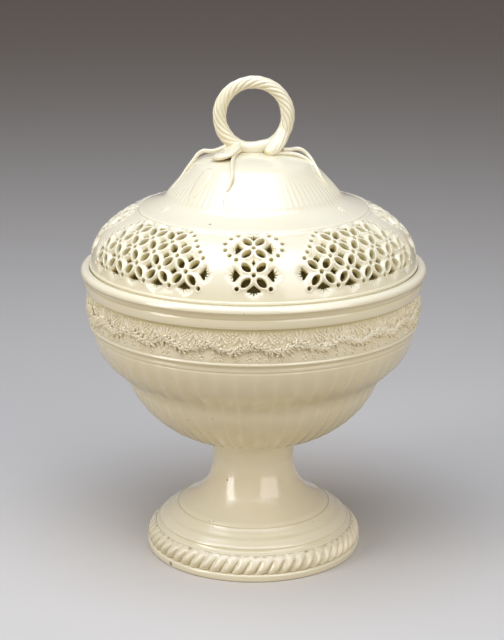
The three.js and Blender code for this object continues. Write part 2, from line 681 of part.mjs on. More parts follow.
add(cover, "cover_shell", coverShell(), creamGlaze);
add(cover, "ring_handle", ringHandle(), handleGlaze);
add(cover, "left_rope_end", ropeEnd(LEFT_END), handleGlaze);
add(cover, "right_rope_end", ropeEnd(RIGHT_END), handleGlaze);

add(cover, "left_twig", twig(archingLine(), 180, 186), handleGlaze);
add(cover, "right_twig", twig(archingLine(), 0, -20), handleGlaze);
add(cover, "right_lower_twig", twig(lyingLine(), -18, -27), handleGlaze);
add(cover, "front_twig", twig(archingLine().slice(0, 4), -122, -107), handleGlaze);
add(cover, "back_twig", twig(archingLine().slice(0, 4), 58, 73), handleGlaze);
add(cover, "left_leaf", crownLeaf(224, 0.86), handleGlaze);
add(cover, "front_leaf", crownLeaf(-109, 0.42), handleGlaze);
add(cover, "back_leaf", crownLeaf(71, 0.42), handleGlaze);
add(cover, "left_rosette", rosette(Math.PI + ROSETTE_PLACE), handleGlaze);
add(cover, "right_rosette", rosette(-ROSETTE_PLACE), handleGlaze);

export default chestnutBasket;
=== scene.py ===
"""Looks of a covered chestnut basket in cream-glazed earthenware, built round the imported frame.

The pieces are made in millimetres, in the frame's own axes: the front is -Y and +Z is up.
"""
import math
import random

import bpy
import numpy as np
from mathutils import Matrix, Vector
from mathutils.geometry import delaunay_2d_cdt


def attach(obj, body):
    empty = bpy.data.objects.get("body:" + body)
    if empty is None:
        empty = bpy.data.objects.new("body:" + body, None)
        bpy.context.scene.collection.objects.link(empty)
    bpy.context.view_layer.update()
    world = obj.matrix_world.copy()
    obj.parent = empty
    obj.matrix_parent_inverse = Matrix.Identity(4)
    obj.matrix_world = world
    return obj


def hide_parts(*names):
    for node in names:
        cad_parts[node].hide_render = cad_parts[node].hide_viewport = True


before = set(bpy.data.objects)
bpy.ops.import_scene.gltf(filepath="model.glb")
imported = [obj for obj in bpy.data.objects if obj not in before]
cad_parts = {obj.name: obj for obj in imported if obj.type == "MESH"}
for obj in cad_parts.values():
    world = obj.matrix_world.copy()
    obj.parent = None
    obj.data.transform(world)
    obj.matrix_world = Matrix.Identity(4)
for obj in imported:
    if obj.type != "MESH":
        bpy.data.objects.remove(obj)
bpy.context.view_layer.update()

MM = 0.001

# Foot
BASE_RADIUS = 63.4
BASE_RING_INSIDE = 53.0
PLINTH_HEIGHT = 4.2
PLINTH_ROUNDING = 1.0
CABLE_TOP = 14.4
CABLE_SEAT_RADIUS = 58.2
CABLE_DEPTH = 4.9
CABLE_TWISTS = 57
CABLE_LEAN = 0.95  # how far a strand runs on as it rises, in widths of a strand
CABLE_FURROW = 2.3
CABLE_THICKEST = 0.3  # share of the border's height
STEM_RADIUS = 23.7
STEM_WAIST_HEIGHT = 55.5
FOOT_HEIGHT = 68.5
FOOT_SEGMENTS = 192

# Bowl
BOWL_BASE_RADIUS = 25.6
BOWL_FLOOR_HEIGHT = 75.0
BOWL_WALL = 4.2
WAIST_RADIUS = 73.0
WAIST_HEIGHT = 104.0
BEAD_BOTTOM = 138.1
FRIEZE_BOTTOM = 140.5
FRIEZE_TOP = 159.8
FRIEZE_RADIUS = 95.3
FRIEZE_WALL = FRIEZE_RADIUS - 0.4
FILLET_RADIUS = 97.0
FILLET_TOP = 164.2
LIP_RADIUS = 99.4
LIP_BEAD_RADIUS = 2.9
LIP_TOP = 172.2
LEDGE_HEIGHT = 169.3
SEAT_RADIUS = 94.4
MOUTH_RADIUS = 89.2
FLUTES = 52
FLUTE_ARRIS = 0.9  # degrees from the front to the nearest arris
FLUTE_DEPTH = 0.0105  # share of the radius
FLUTES_TOP = 137.0
FLUTE_FADE = 16
LINE_HEIGHTS = (134.4, 137.0)  # two incised lines under the bead
LINE_DEPTH = 0.4
LINE_WIDTH = 0.4
INSIDE_GLAZE_AND_BOUNCE_SHARE = 0.45  # of the warm inside tint on the bowl's inner wall and floor: pooled glaze, and painted warm bounce light of the shaded inside

# Frieze
FRIEZE_REPEATS = 24
REPEAT = math.tau / FRIEZE_REPEATS
GARLAND_LEAVES = 26  # bunches of leaves in one repeat
GARLAND_HEIGHT = 8.2
GARLAND_SWING = 1.6
SPRIG_TOP = 6.2
SPRAY_FOOT = 11.4

# Cover
COVER_WALL = 4.0
EDGE_RADIUS = 94.0
EDGE_TOP = 174.1
EDGE_SEGMENTS = 360
SHOULDER_TOP = 204.0
SHOULDER_TOP_RADIUS = 68.5
SHOULDER_FOOT_RADIUS = 93.4
FLANGE_RADIUS = 88.6
FLANGE_THICKNESS = 3.0
FLANGE_BOTTOM = 163.8
CROWN_FOOT_RADIUS = 49.0
CROWN_FOOT = 213.8
CROWN_TOP_RADIUS = 34.2
CROWN_SHOULDER = 230.2
CROWN_TOP = 236.5
CROWN_FLUTES = 84
CROWN_FLUTE_DEPTH = 0.4
SEAM_DEPTH = 0.5  # how far the shoulder's upper end dips under the crown
ROSETTE_RADIUS = 55.5

# Piercings
LATTICE_PITCH = 10.6  # degrees between two lattice points of a row
FIRST_ROW = 5.8
LAST_ROW = 1.4
PETAL_LENGTH = 6.8
PETAL_WIDTH = 4.2
DOT_RADIUS = 1.2
CELL_SIZE = 2.3
CLUB_SIZE = 1.3
FAN_ANGLE = math.radians(82)
ROUND_LOBE_ANGLE = math.radians(62)
ROUND_LOBE_SPREAD = math.radians(17)
THIN_LOBE_ANGLE = math.radians(27)
THIN_LOBE_SPREAD = math.radians(7.5)
RIM_WIDTH = 1.4
RIM_HEIGHT = 0.6
GROUND_DEPTH = 1.2
HOLE_ROUNDING = 0.4
WALL_LEVELS = (0.3, 0.65)  # shares of the wall's thickness in a hole
WALL_POOLS = (0.56, 0.62)  # glaze that lies on those levels
QUARTER_START = -14.0  # degrees, in a plain stretch between two panels
NET_SPACING = 1.3
MEAN_RADIUS = 84.0  # of the shoulder, for laying it out flat

# Ring handle
RING_RADIUS = 18.9
ROPE_RADIUS = 3.7
ROPE_STRANDS = 8
ROPE_LAYS = 3
ROPE_GROOVE = 0.95
RING_MIDDLE = 257.05
TAIL_SIDES = 60


def bezier(start, pull_out, pull_in, end, steps):
    """Points of a cubic curve, without its first point."""
    t = np.linspace(0, 1, steps + 1)[1:, None]
    points = [np.array(p, float) for p in (start, pull_out, pull_in, end)]
    weights = ((1 - t) ** 3, 3 * (1 - t) ** 2 * t, 3 * (1 - t) * t**2, t**3)
    return [tuple(p) for p in sum(w * p for w, p in zip(weights, points))]


def carry_on(outline, *curves):
    """Carries an outline on through curves, each with its two pulls, its end and its steps."""
    for curve in curves:
        outline.extend(bezier(outline[-1], *curve))


def arc(centre, radius, start, end, steps):
    """Points of a round stretch, with angles in degrees above the horizontal."""
    angles = np.radians(np.linspace(start, end, steps + 1))
    return [(centre[0] + radius * math.cos(a), centre[1] + radius * math.sin(a)) for a in angles]


def resampled(profile, spacing):
    """The outline with more points, no further apart than the spacing."""
    points = [profile[0]]
    for here, there in zip(profile, profile[1:]):
        steps = max(1, math.ceil(math.dist(here, there) / spacing))
        way = np.array(there) - here
        points += [here + way * k / steps for k in range(1, steps + 1)]
    return np.array(points)


def unit(vectors):
    return vectors / np.linalg.norm(vectors, axis=-1, keepdims=True)


def profile_normals(profile):
    """Outward normals of an outline that runs up the outside."""
    ahead = np.gradient(profile, axis=0)
    ahead /= np.linalg.norm(ahead, axis=1, keepdims=True) + 1e-9
    return np.stack([ahead[:, 1], -ahead[:, 0]], axis=1)


def hump(away, width):
    """1 where away is 0, falling smoothly to nothing on both sides."""
    return np.exp(-((away / width) ** 2))


def smooth_step(low, high, value):
    t = np.clip((value - low) / (high - low), 0, 1)
    return t * t * (3 - 2 * t)


def spline(at, values, fine):
    """A smooth curve through the values."""
    slopes = np.gradient(values, at)
    place = np.clip(np.searchsorted(at, fine, side="right") - 1, 0, len(at) - 2)
    t = fine - at[place]
    start, end = values[place], values[place + 1]
    curve = (2 * t**3 - 3 * t**2 + 1) * start + (t**3 - 2 * t**2 + t) * slopes[place]
    return curve + (3 * t**2 - 2 * t**3) * end + (t**3 - t**2) * slopes[place + 1]


def round_axis(radius, azimuth, height):
    """Points round the Z axis, with the azimuth counted from the front."""
    return np.stack([radius * np.sin(azimuth), -radius * np.cos(azimuth), height], axis=-1)


def turned(points, angle):
    """The points turned in the XY plane."""
    points = np.array(points, float)
    c, s = math.cos(angle), math.sin(angle)
    x, y = points.T[:2].copy()
    points[:, 0] = x * c - y * s
    points[:, 1] = x * s + y * c
    return points


def grid_faces(rows, columns, closed_rows=False, closed_columns=True):
    """Quads of a grid of points, rows by columns."""
    faces = []
    for i in range(rows if closed_rows else rows - 1):
        up = (i + 1) % rows
        for j in range(columns if closed_columns else columns - 1):
            on = (j + 1) % columns
            faces.append((i * columns + j, i * columns + on, up * columns + on, up * columns + j))
    return faces


def fan_faces(tip, ring, forward):
    """Triangles from a tip to a closed ring of points, wound forward or back."""
    pairs = [(ring[j], ring[(j + 1) % len(ring)]) for j in range(len(ring))]
    return [(tip, a, b) if forward else (tip, b, a) for a, b in pairs]


def flipped(faces):
    return [face[::-1] for face in faces]


def crevices(points, faces):
    """The step from each point to the evened-out mesh: outwards in a hollow."""
    edges = {(a, b) if a < b else (b, a) for face in faces for a, b in zip(face, face[1:] + face[:1])}
    edges = np.array(sorted(edges))
    count = np.bincount(edges.ravel(), minlength=len(points))[:, None] + 1e-9
    even = points.copy()
    for _ in range(6):
        total = np.zeros_like(even)
        np.add.at(total, edges[:, 0], even[edges[:, 1]])
        np.add.at(total, edges[:, 1], even[edges[:, 0]])
        even = 0.5 * even + 0.5 * total / count
    return even - points


def joined(forms):
    """One set of points and faces from many."""
    faces = []
    start = 0
    for points, its_faces in forms:
        faces += [tuple(start + i for i in face) for face in its_faces]
        start += len(points)
    return np.vstack([points for points, _ in forms]), faces


def make_piece(name, points, faces, body, slot, nodes=(), hollow_reach=0.5, **tones):
    """A mesh that rides on a body and stands for CAD nodes; tones are the glaze's values at each point."""
    faces = [tuple(int(i) for i in face) for face in faces]
    mesh = bpy.data.meshes.new(name)
    mesh.from_pydata((points * MM).tolist(), [], faces)
    mesh.update()
    mesh.shade_smooth()
    normals = np.zeros(len(points) * 3)
    mesh.vertices.foreach_get("normal", normals)
    normals = normals.reshape(-1, 3)
    if "pool" not in tones:
        outward = np.sum(crevices(points, faces) * normals, axis=1)
        tones["pool"] = np.clip(0.5 + 0.5 * outward / hollow_reach, 0, 1)
    for tone, values in tones.items():
        values = values(points, normals) if callable(values) else values
        mesh.attributes.new(tone, "FLOAT", "POINT").data.foreach_set("value", np.asarray(values, float))
    piece = bpy.data.objects.new(name, mesh)
    bpy.context.collection.objects.link(piece)
    mesh.materials.append(GLAZES[slot])
    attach(piece, body)
    if nodes:
        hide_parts(*nodes)


def revolved(profile, segments, relief=None):
    """An outline turned about the Z axis; relief gives the rise along the normal."""
    normals = profile_normals(profile)
    azimuth = math.tau * np.arange(segments) / segments
    radius = np.repeat(profile[:, :1], segments, axis=1)
    height = np.repeat(profile[:, 1:], segments, axis=1)
    if relief is not None:
        rise = relief(azimuth[None, :], radius, height, normals)
        radius = radius + rise * normals[:, :1]
        height = height + rise * normals[:, 1:]
    points = round_axis(radius, azimuth, height)
    poles = [i for i in (0, len(profile) - 1) if profile[i, 0] < 1e-6]
    body = [i for i in range(len(profile)) if i not in poles]
    flat = points[body].reshape(-1, 3)
    faces = grid_faces(len(body), segments, closed_rows=not poles)
    tips = []
    for pole in poles:
        edge = (len(body) - 1) * segments if pole else 0
        faces += fan_faces(len(flat) + len(tips), range(edge, edge + segments), pole > 0)
        tips.append((0, 0, profile[pole, 1]))
    return np.vstack([flat, tips]) if tips else flat, faces


def flute(azimuth, count, arris):
    """How deep and how far across its flute each azimuth lies, from 0 to 1."""
    across = np.mod((np.degrees(azimuth) - arris) * count / 360, 1)
    depth = np.sqrt(np.clip(4 * across * (1 - across), 0, 1) ** 1.5 + 0.004) - 0.06
    return depth, across


# Materials

CREAM = (0.85, 0.78, 0.57)
POOLED = (0.62, 0.56, 0.24)
# Inside tint: pooled glaze, and painted warm bounce light of the shaded inside seen through the piercings
INSIDE_GLAZE_AND_BOUNCE = (0.97, 0.84, 0.38)
STAIN = (0.42, 0.29, 0.13)
SPECK = (0.30, 0.24, 0.13)
MARK = (0.15, 0.09, 0.03)
MARKS = [  # place and reach of each dark mark on the front
    ((-15.1, -19.8, 45.5), 0.9), ((-25.7, -35.7, 26.3), 0.7), ((-23.2, -36.7, 26.4), 0.5),
    ((-23.5, -54.8, 206.6), 1.1), ((-36.6, -58.6, 96.4), 0.5), ((14.2, -46.4, 22.8), 0.35),
    ((-48.0, -41.3, 2.1), 1.6), ((-13.8, -45.6, 215.2), 0.7), ((-33.7, -78.3, 118.4), 0.4),
    ((-32.8, -76.9, 116.7), 0.45), ((-31.6, -75.3, 114.7), 0.4), ((31.3, -90.5, 172.2), 0.35),
    ((32.3, -90.1, 172.2), 0.4), ((33.3, -89.7, 172.2), 0.35), ((-5.1, -99.3, 169.3), 0.35),
    ((29.1, -92.9, 161.9), 0.35),
]
HANDLE_MARKS = [
    ((9.4, -9.9, 238.4), 0.45), ((17.4, -1.6, 239.2), 0.6), ((-17.3, -15.5, 238.8), 0.5),
    ((-18.3, -5.0, 238.0), 0.5),
]


class Tree:
    """Adds nodes to a tree; a socket takes a number, a colour or another node's output."""

    def __init__(self, owner):
        owner.use_nodes = True
        self.nodes = owner.node_tree.nodes
        self.links = owner.node_tree.links

    def feed(self, socket, source):
        if isinstance(source, bpy.types.NodeSocket):
            self.links.new(source, socket)
        else:
            socket.default_value = (*source, 1) if isinstance(source, tuple) else source

    def add(self, kind, sockets=(), **settings):
        node = self.nodes.new(kind)
        for name, value in settings.items():
            setattr(node, name, value)
        for name, source in dict(sockets).items():
            self.feed(node.inputs[name], source)
        return node

    def mixed(self, amount, first, second):
        return self.add("ShaderNodeMix", {0: amount, 6: first, 7: second}, data_type="RGBA").outputs[2]

    def ramp(self, source, low, high, most=1.0, least=0.0):
        sockets = {"Value": source, "From Min": low, "From Max": high, "To Min": least, "To Max": most}
        return self.add("ShaderNodeMapRange", sockets, clamp=True).outputs["Result"]

    def operation(self, kind, first, second):
        return self.add("ShaderNodeMath", {0: first, 1: second}, operation=kind).outputs[0]

    def seen(self):
        """1 for rays from the camera and from glossy surfaces, 0 for all others."""
        path = self.add("ShaderNodeLightPath")
        return self.operation("MAXIMUM", path.outputs["Is Camera Ray"], path.outputs["Is Glossy Ray"])


def glaze(name, base, pooled, roughness, specks=0.5, marks=()):
    """A glossy lead glaze over cream clay: it pools yellow-green in hollows and thins on ridges."""
    material = bpy.data.materials.new(name)
    tree = Tree(material)
    place = tree.add("ShaderNodeTexCoord").outputs["Object"]

    def noise(scale, detail):
        sockets = {"Vector": place, "Scale": scale, "Detail": detail}
        return tree.add("ShaderNodeTexNoise", sockets).outputs["Fac"]

    def tone(attribute):
        return tree.add("ShaderNodeAttribute", attribute_name=attribute).outputs["Fac"]

    def bump(strength, distance, height, **below):
        sockets = {"Strength": strength, "Distance": distance, "Height": height, **below}
        return tree.add("ShaderNodeBump", sockets).outputs["Normal"]

    pool = tone("pool")
    thin = tuple(min(1, c * 1.04) for c in base)
    warm = (base[0] * 0.985, base[1] * 0.955, base[2] * 0.9)
    colour = tree.mixed(tree.ramp(noise(22, 2), 0.42, 0.62, 0.55), base, warm)
    colour = tree.mixed(tree.ramp(pool, 0.5, 0.2, 0.8), colour, thin)
    colour = tree.mixed(tree.ramp(pool, 0.54, 0.95, 0.9), colour, pooled)
    spots = tree.add("ShaderNodeTexVoronoi", {"Vector": place, "Scale": 130}, feature="F1")
    near = tree.ramp(spots.outputs["Distance"], 0.1, 0.05, specks)
    rare = tree.operation("MULTIPLY", near, tree.ramp(noise(41, 1), 0.6, 0.66))
    colour = tree.mixed(rare, colour, SPECK)
    # Painted warm bounce light of the shaded inside, over pooled glaze, where the inside attribute is set
    colour = tree.mixed(tone("inside"), colour, INSIDE_GLAZE_AND_BOUNCE)
    colour = tree.mixed(tone("stain"), colour, STAIN)
    for spot, reach in marks:
        sockets = {0: place, 1: Vector(spot) * MM}
        away = tree.add("ShaderNodeVectorMath", sockets, operation="DISTANCE").outputs["Value"]
        colour = tree.mixed(tree.ramp(away, reach * MM, 0.4 * reach * MM, 0.8), colour, MARK)
    ripple = bump(0.25, 0.0006, noise(75, 2))
    looks = {
        "IOR": 1.6,
        "Coat Weight": 0.35,
        "Coat Roughness": 0.06,
        "Base Color": colour,
        "Roughness": tree.ramp(noise(60, 4), 0, 1, roughness + 0.09, roughness),
        "Normal": bump(0.12, 0.0002, noise(420, 2), Normal=ripple),
    }
    for socket, source in looks.items():
        tree.feed(tree.nodes["Principled BSDF"].inputs[socket], source)
    return material


GLAZES = {
    "cream_glaze": glaze("cream_glaze", CREAM, POOLED, 0.12, 0.35, MARKS),
    "relief_glaze": glaze("relief_glaze", (0.85, 0.77, 0.56), (0.55, 0.49, 0.23), 0.14),
    "handle_glaze": glaze("handle_glaze", CREAM, (0.68, 0.62, 0.22), 0.14, 0.3, HANDLE_MARKS),
}


# Foot


def foot_profile():
    inner = [(0, 64.0), (18.2, 64.0), (18.2, 50.0)]
    carry_on(inner, ((18.2, 38.0), (40.5, 19.4), (BASE_RING_INSIDE, PLINTH_HEIGHT), 20))
    inner += [(BASE_RING_INSIDE, 0.6), (BASE_RING_INSIDE + 0.6, 0)]
    rounding = BASE_RADIUS - PLINTH_ROUNDING
    outer = [(rounding, 0)]
    outer += arc((rounding, PLINTH_ROUNDING), PLINTH_ROUNDING, -80, 0, 4)
    outer += arc((rounding, PLINTH_HEIGHT - PLINTH_ROUNDING), PLINTH_ROUNDING, 0, 90, 5)
    outer += [(CABLE_SEAT_RADIUS, PLINTH_HEIGHT), (CABLE_SEAT_RADIUS, CABLE_TOP)]
    carry_on(
        outer,
        ((57.2, 14.6), (56.0, 15.0), (55.6, 16.3), 5),
        ((55.5, 16.7), (55.8, 16.8), (55.8, 17.1), 4),
        ((55.3, 18.3), (54.0, 18.8), (52.9, 19.8), 8),
        ((52.2, 20.4), (51.8, 20.7), (50.9, 21.0), 6),
        ((49.6, 21.4), (49.2, 21.9), (48.2, 22.8), 6),
        ((47.2, 23.6), (46.2, 24.3), (45.7, 25.2), 6),
    )
    outer += [(45.4, 25.5), (44.9, 25.1), (44.3, 25.6)]
    stem = (STEM_RADIUS, STEM_WAIST_HEIGHT)
    outer += bezier((43.9, 26.3), (33.6, 31.2), (STEM_RADIUS + 0.4, 38.0), stem, 30)
    outer += [(STEM_RADIUS + 0.9, FOOT_HEIGHT), (0, FOOT_HEIGHT)]
    return resampled(inner + outer, 1.6)


make_piece("pedestal_foot_skin", *revolved(foot_profile(), FOOT_SEGMENTS), "basket", "cream_glaze",
           ["pedestal_foot"])


def cable_border():
    """The rope border's round face, with swelling twists that lean to the right as they rise."""
    turns, corners = CABLE_TWISTS * 12, 28
    turn = np.arange(turns)[:, None] / turns
    share = np.linspace(0, 1, corners)[None, :]
    across = np.mod(turn * CABLE_TWISTS - CABLE_LEAN * share, 1)
    swell = np.clip(1 - np.abs(2 * across - 1) ** 2.2, 0, 1)
    up = share - CABLE_THICKEST
    bulge = 1 - np.where(up > 0, (up / (1 - CABLE_THICKEST)) ** 2, 0.22 * (up / CABLE_THICKEST) ** 2)
    fading = 1 - 0.85 * smooth_step(0.5, 0.9, share)
    furrow = CABLE_FURROW * (1 - swell) * (0.75 + 0.25 * smooth_step(-0.05, 0.15, share)) * fading
    radius = CABLE_SEAT_RADIUS + 0.1 + bulge * CABLE_DEPTH - np.minimum(furrow, bulge * CABLE_DEPTH)
    height = PLINTH_HEIGHT + 0.05 + (CABLE_TOP - PLINTH_HEIGHT - 0.1) * share + 0 * turn
    azimuth = math.tau * turn + 0 * share
    points = round_axis(radius, azimuth, height).reshape(-1, 3)
    patches = 0.55 + 0.6 * np.sin(5 * azimuth + 1.3) * np.sin(31 * azimuth) + 0.5 * np.sin(73 * azimuth)
    stain = patches * (0.25 + 0.75 * (1 - swell)) * hump(share - 0.94, 0.05)
    return points, flipped(grid_faces(turns, corners, closed_rows=True)), np.clip(stain, 0, 1).ravel()


points, faces, stain = cable_border()
make_piece("foot_cable_border_skin", points, faces, "basket", "relief_glaze", ["foot_cable_border"],
           stain=stain)


# Bowl


def bowl_profile():
    outer = [(0, FOOT_HEIGHT), (BOWL_BASE_RADIUS, FOOT_HEIGHT)]
    carry_on(
        outer,
        ((46.9, 69.6), (66.5, 86.5), (WAIST_RADIUS - 0.8, WAIST_HEIGHT - 2.2), 40),
        ((73.3, 104.9), (75.5, 108.2), (78.2, 110.4), 10),
    )
    swell = bezier(outer[-1], (85.2, 116.1), (92.6, 122.4), (FRIEZE_RADIUS - 1.2, BEAD_BOTTOM), 100)
    outer += swell[2:75:3] + swell[75:]
    outer += arc((FRIEZE_RADIUS - 0.8, BEAD_BOTTOM + 1.4), 0.95, -70, 70, 8)
    outer += [
        (FRIEZE_WALL, FRIEZE_BOTTOM), (FRIEZE_WALL, FRIEZE_TOP - 0.3),
        (FILLET_RADIUS - 0.3, FRIEZE_TOP - 0.1), (FILLET_RADIUS, FRIEZE_TOP + 0.3),
        (FILLET_RADIUS + 0.3, FILLET_TOP - 0.2), (FILLET_RADIUS + 0.2, FILLET_TOP + 0.3),
        (96.5, FILLET_TOP + 0.8), (96.9, FILLET_TOP + 1.3),
    ]
    carry_on(outer, ((97.1, 166.4), (97.7, 167.6), (98.7, 168.5), 8))
    outer += arc((LIP_RADIUS - LIP_BEAD_RADIUS, LIP_TOP - LIP_BEAD_RADIUS), LIP_BEAD_RADIUS, -8, 95, 12)
    outer += [(SEAT_RADIUS + 0.4, LIP_TOP), (SEAT_RADIUS, LIP_TOP - 0.4), (SEAT_RADIUS, LEDGE_HEIGHT)]
    belly = FRIEZE_RADIUS - BOWL_WALL
    inner = [
        (MOUTH_RADIUS + 0.4, LEDGE_HEIGHT), (MOUTH_RADIUS, LEDGE_HEIGHT - 0.4), (MOUTH_RADIUS, 160.9),
        (belly, 154.3), (belly, FRIEZE_BOTTOM),
    ]
    carry_on(
        inner,
        ((belly, 126.7), (76.4, 115.2), (WAIST_RADIUS - BOWL_WALL, 106.1), 20),
        ((64.1, 89.8), (45.5, BOWL_FLOOR_HEIGHT), (BOWL_BASE_RADIUS, BOWL_FLOOR_HEIGHT), 24),
    )
    inner += [(0, BOWL_FLOOR_HEIGHT)]
    return np.vstack([resampled(outer, 2.2), inner])


def bowl_relief(azimuth, radius, height, normals):
    """Hollow flutes that fade out upwards, and two incised lines below the bead."""
    depth, across = flute(azimuth, FLUTES, FLUTE_ARRIS)
    outside = (normals[:, :1] > -0.2) & (radius > BOWL_BASE_RADIUS - 1)
    outside &= np.arange(len(radius))[:, None] < np.argmax(radius[:, 0])
    tips = height + 2.5 * (2 * across - 1) ** 2
    ends = 1 - smooth_step(FLUTES_TOP - FLUTE_FADE, FLUTES_TOP, tips)
    ends = ends * smooth_step(FOOT_HEIGHT - 1, FOOT_HEIGHT + 6, height)
    rise = -FLUTE_DEPTH * radius * depth * ends
    for line in LINE_HEIGHTS:
        rise = rise - LINE_DEPTH * hump(height - line, LINE_WIDTH)
    return np.where(outside, rise, 0.0)


def bowl_inside(points, normals):
    """The share of the inside tint on the bowl's inner wall and floor: pooled glaze and painted warm bounce
    light of the shaded inside.
    """
    across = np.hypot(points[:, 0], points[:, 1])
    outward = np.sum(normals[:, :2] * points[:, :2], axis=1)
    wall = (outward < -0.1 * across) & (points[:, 2] < LEDGE_HEIGHT - 2)
    floor = (normals[:, 2] > 0.5) & (across < WAIST_RADIUS - BOWL_WALL)
    return INSIDE_GLAZE_AND_BOUNCE_SHARE * (wall | floor)


make_piece("bowl_skin", *revolved(bowl_profile(), FLUTES * 9, bowl_relief), "basket", "cream_glaze",
           ["bowl"], inside=bowl_inside)


# Frieze


class Frieze:
    """Gathers many small raised forms on the frieze wall."""

    def __init__(self):
        self.forms = []

    def lay(self, form, azimuth, up, turn=0.0, lift=0.0, size=1.0):
        """Adds a flat form, turned in its plane and bent round the wall, at a height above its foot."""
        points = turned(form[0] * size, turn)
        radius = FRIEZE_WALL + lift + points[:, 2]
        angle = azimuth + points[:, 0] / FRIEZE_RADIUS
        self.forms.append((round_axis(radius, angle, FRIEZE_BOTTOM + up + points[:, 1]), form[1]))


def leaf_points(length, width, rise, curl=0.0, rows=7, columns=5):
    """A domed leaf with a sunken vein, from its stalk at the origin along +Y."""
    fine = columns > 5
    grid = []
    for i in range(rows):
        t = i / (rows - 1)
        half = 0.5 * width * math.sin(math.pi * min(1, 0.06 + 0.94 * t)) ** 0.7 * (1.15 - 0.35 * t) + 0.02
        for a in np.linspace(-1, 1, columns):
            dome = rise * (1 - a * a) ** 0.5 * math.sin(math.pi * (0.08 + 0.87 * t)) ** 0.6
            vein = 0.28 * rise * math.exp(-((a / 0.28) ** 2)) if fine else 0.16 * rise * (abs(a) < 0.1)
            grid.append((half * a + curl * t * t * length, length * t, dome - vein))
    faces = grid_faces(rows, columns, closed_columns=False)
    back = [(x, y, -0.25) for x, y, _ in grid]
    count = len(grid)
    ids = np.arange(count).reshape(rows, columns)
    border = [*ids[0], *ids[1:, -1], *ids[-1, -2::-1], *ids[-2:0:-1, 0]]
    below = border
    if fine:
        faces += [tuple(count + i for i in face) for face in flipped(faces)]
    else:
        back = [back[i] for i in border]
        below = list(range(len(border)))
        faces.append(tuple(count + i for i in below[::-1]))
    for k in range(len(border)):
        on = (k + 1) % len(border)
        faces.append((border[k], count + below[k], count + below[on], border[on]))
    return np.array(grid + back), faces


def berry_points(radius):
    """A small round berry, half sunk in what carries it."""
    rings, sides = 4, 8
    points = [(0, 0, radius)]
    for i in range(1, rings + 1):
        polar = math.pi * 0.62 * i / rings
        reach, up = radius * math.sin(polar), radius * math.cos(polar)
        turns = [math.tau * j / sides for j in range(sides)]
        points += [(reach * math.cos(turn), reach * math.sin(turn), up) for turn in turns]
    faces = []
    for j in range(sides):
        on = (j + 1) % sides
        faces.append((0, 1 + j, 1 + on))
        for a in range(1, (rings - 1) * sides, sides):
            faces.append((a + j, a + j + sides, a + on + sides, a + on))
    faces.append(tuple(1 + (rings - 1) * sides + j for j in range(sides))[::-1])
    return np.array(points), faces


LEAF = leaf_points(4.0, 1.3, 1.5, rows=6, columns=3)
SMALL_LEAF = leaf_points(2.8, 1.2, 1.4, rows=5, columns=3)
FLAT_LEAF = leaf_points(3.4, 1.6, 0.8)
TALL_LEAF = leaf_points(7.0, 2.0, 0.9)
STALK_LENGTH = 2.8
STALK = leaf_points(STALK_LENGTH, 0.9, 0.9, rows=5, columns=3)
BERRY = berry_points(0.8)


def swing(share):
    """The garland's height above its mean, at a share of one repeat."""
    return GARLAND_SWING * math.cos(math.tau * share)


def lay_garland(garland, start, draw):
    """Narrow leaves on both sides of the garland, small ones on its middle, and berries."""
    for k in range(GARLAND_LEAVES):
        share = k / GARLAND_LEAVES
        azimuth = start + REPEAT * share
        middle = GARLAND_HEIGHT + swing(share)
        slope = -GARLAND_SWING * math.tau / (REPEAT * FRIEZE_RADIUS) * math.sin(math.tau * share)
        along = math.atan(slope) - math.pi / 2
        for side, away in ((1, 0.2), (-1, 0.2), (draw.choice((-1, 1)), 1.3)):
            turn = along + side * (0.85 + 0.45 * draw.uniform(-1, 1))
            shift = draw.uniform(-0.5, 0.5) * REPEAT / GARLAND_LEAVES
            lift = draw.uniform(0.1, 0.9)
            size = draw.uniform(0.7, 1.1)
            garland.lay(LEAF, azimuth + shift, middle - side * away, turn, lift, size)
        turn = along + 0.5 * draw.uniform(-1, 1)
        garland.lay(SMALL_LEAF, azimuth, middle + draw.uniform(-0.8, 0.8), turn, 0.9)
        if k % 3 == 1:
            garland.lay(BERRY, azimuth, middle + draw.choice((-1, 1)) * draw.uniform(1.5, 2.6), lift=0.9)


def lay_sprigs(garland, start, draw):
    """The sprigs that hang from the garland, each with four leaves and a berry."""
    for place in (3.0, 9.5, 16.0, 22.5):
        share = (place + draw.uniform(-1.5, 1.5)) / GARLAND_LEAVES
        azimuth = start + REPEAT * share
        top = SPRIG_TOP + swing(share)
        length = top - 1.5
        lean = draw.uniform(-0.25, 0.25)
        run = math.sin(lean) / FRIEZE_RADIUS
        garland.lay(STALK, azimuth, top, math.pi + lean, size=np.array([1.0, length / STALK_LENGTH, 1.0]))
        for down, side in ((0.15, 1), (0.3, -1), (0.55, 1), (0.7, -1)):
            turn = math.pi + lean + side * draw.uniform(0.7, 1.2)
            garland.lay(SMALL_LEAF, azimuth + down * length * run, top - down * length, turn, size=0.75)
        garland.lay(BERRY, azimuth + length * run, top - length, size=0.9)


# The tilt and size of each leaf, and the place of each berry
FAN_OF_LEAVES = ((0, 1.0), (-0.45, 0.95), (0.45, 0.95), (-0.9, 0.8), (0.9, 0.8), (-1.3, 0.6), (1.3, 0.6))
BUNCH = ((0, 0), (-1.2, 0.9), (1.2, 0.9), (0, 1.8), (-1.4, 2.7), (1.4, 2.7), (0, 3.6), (-0.9, 4.6),
         (0.9, 4.6))


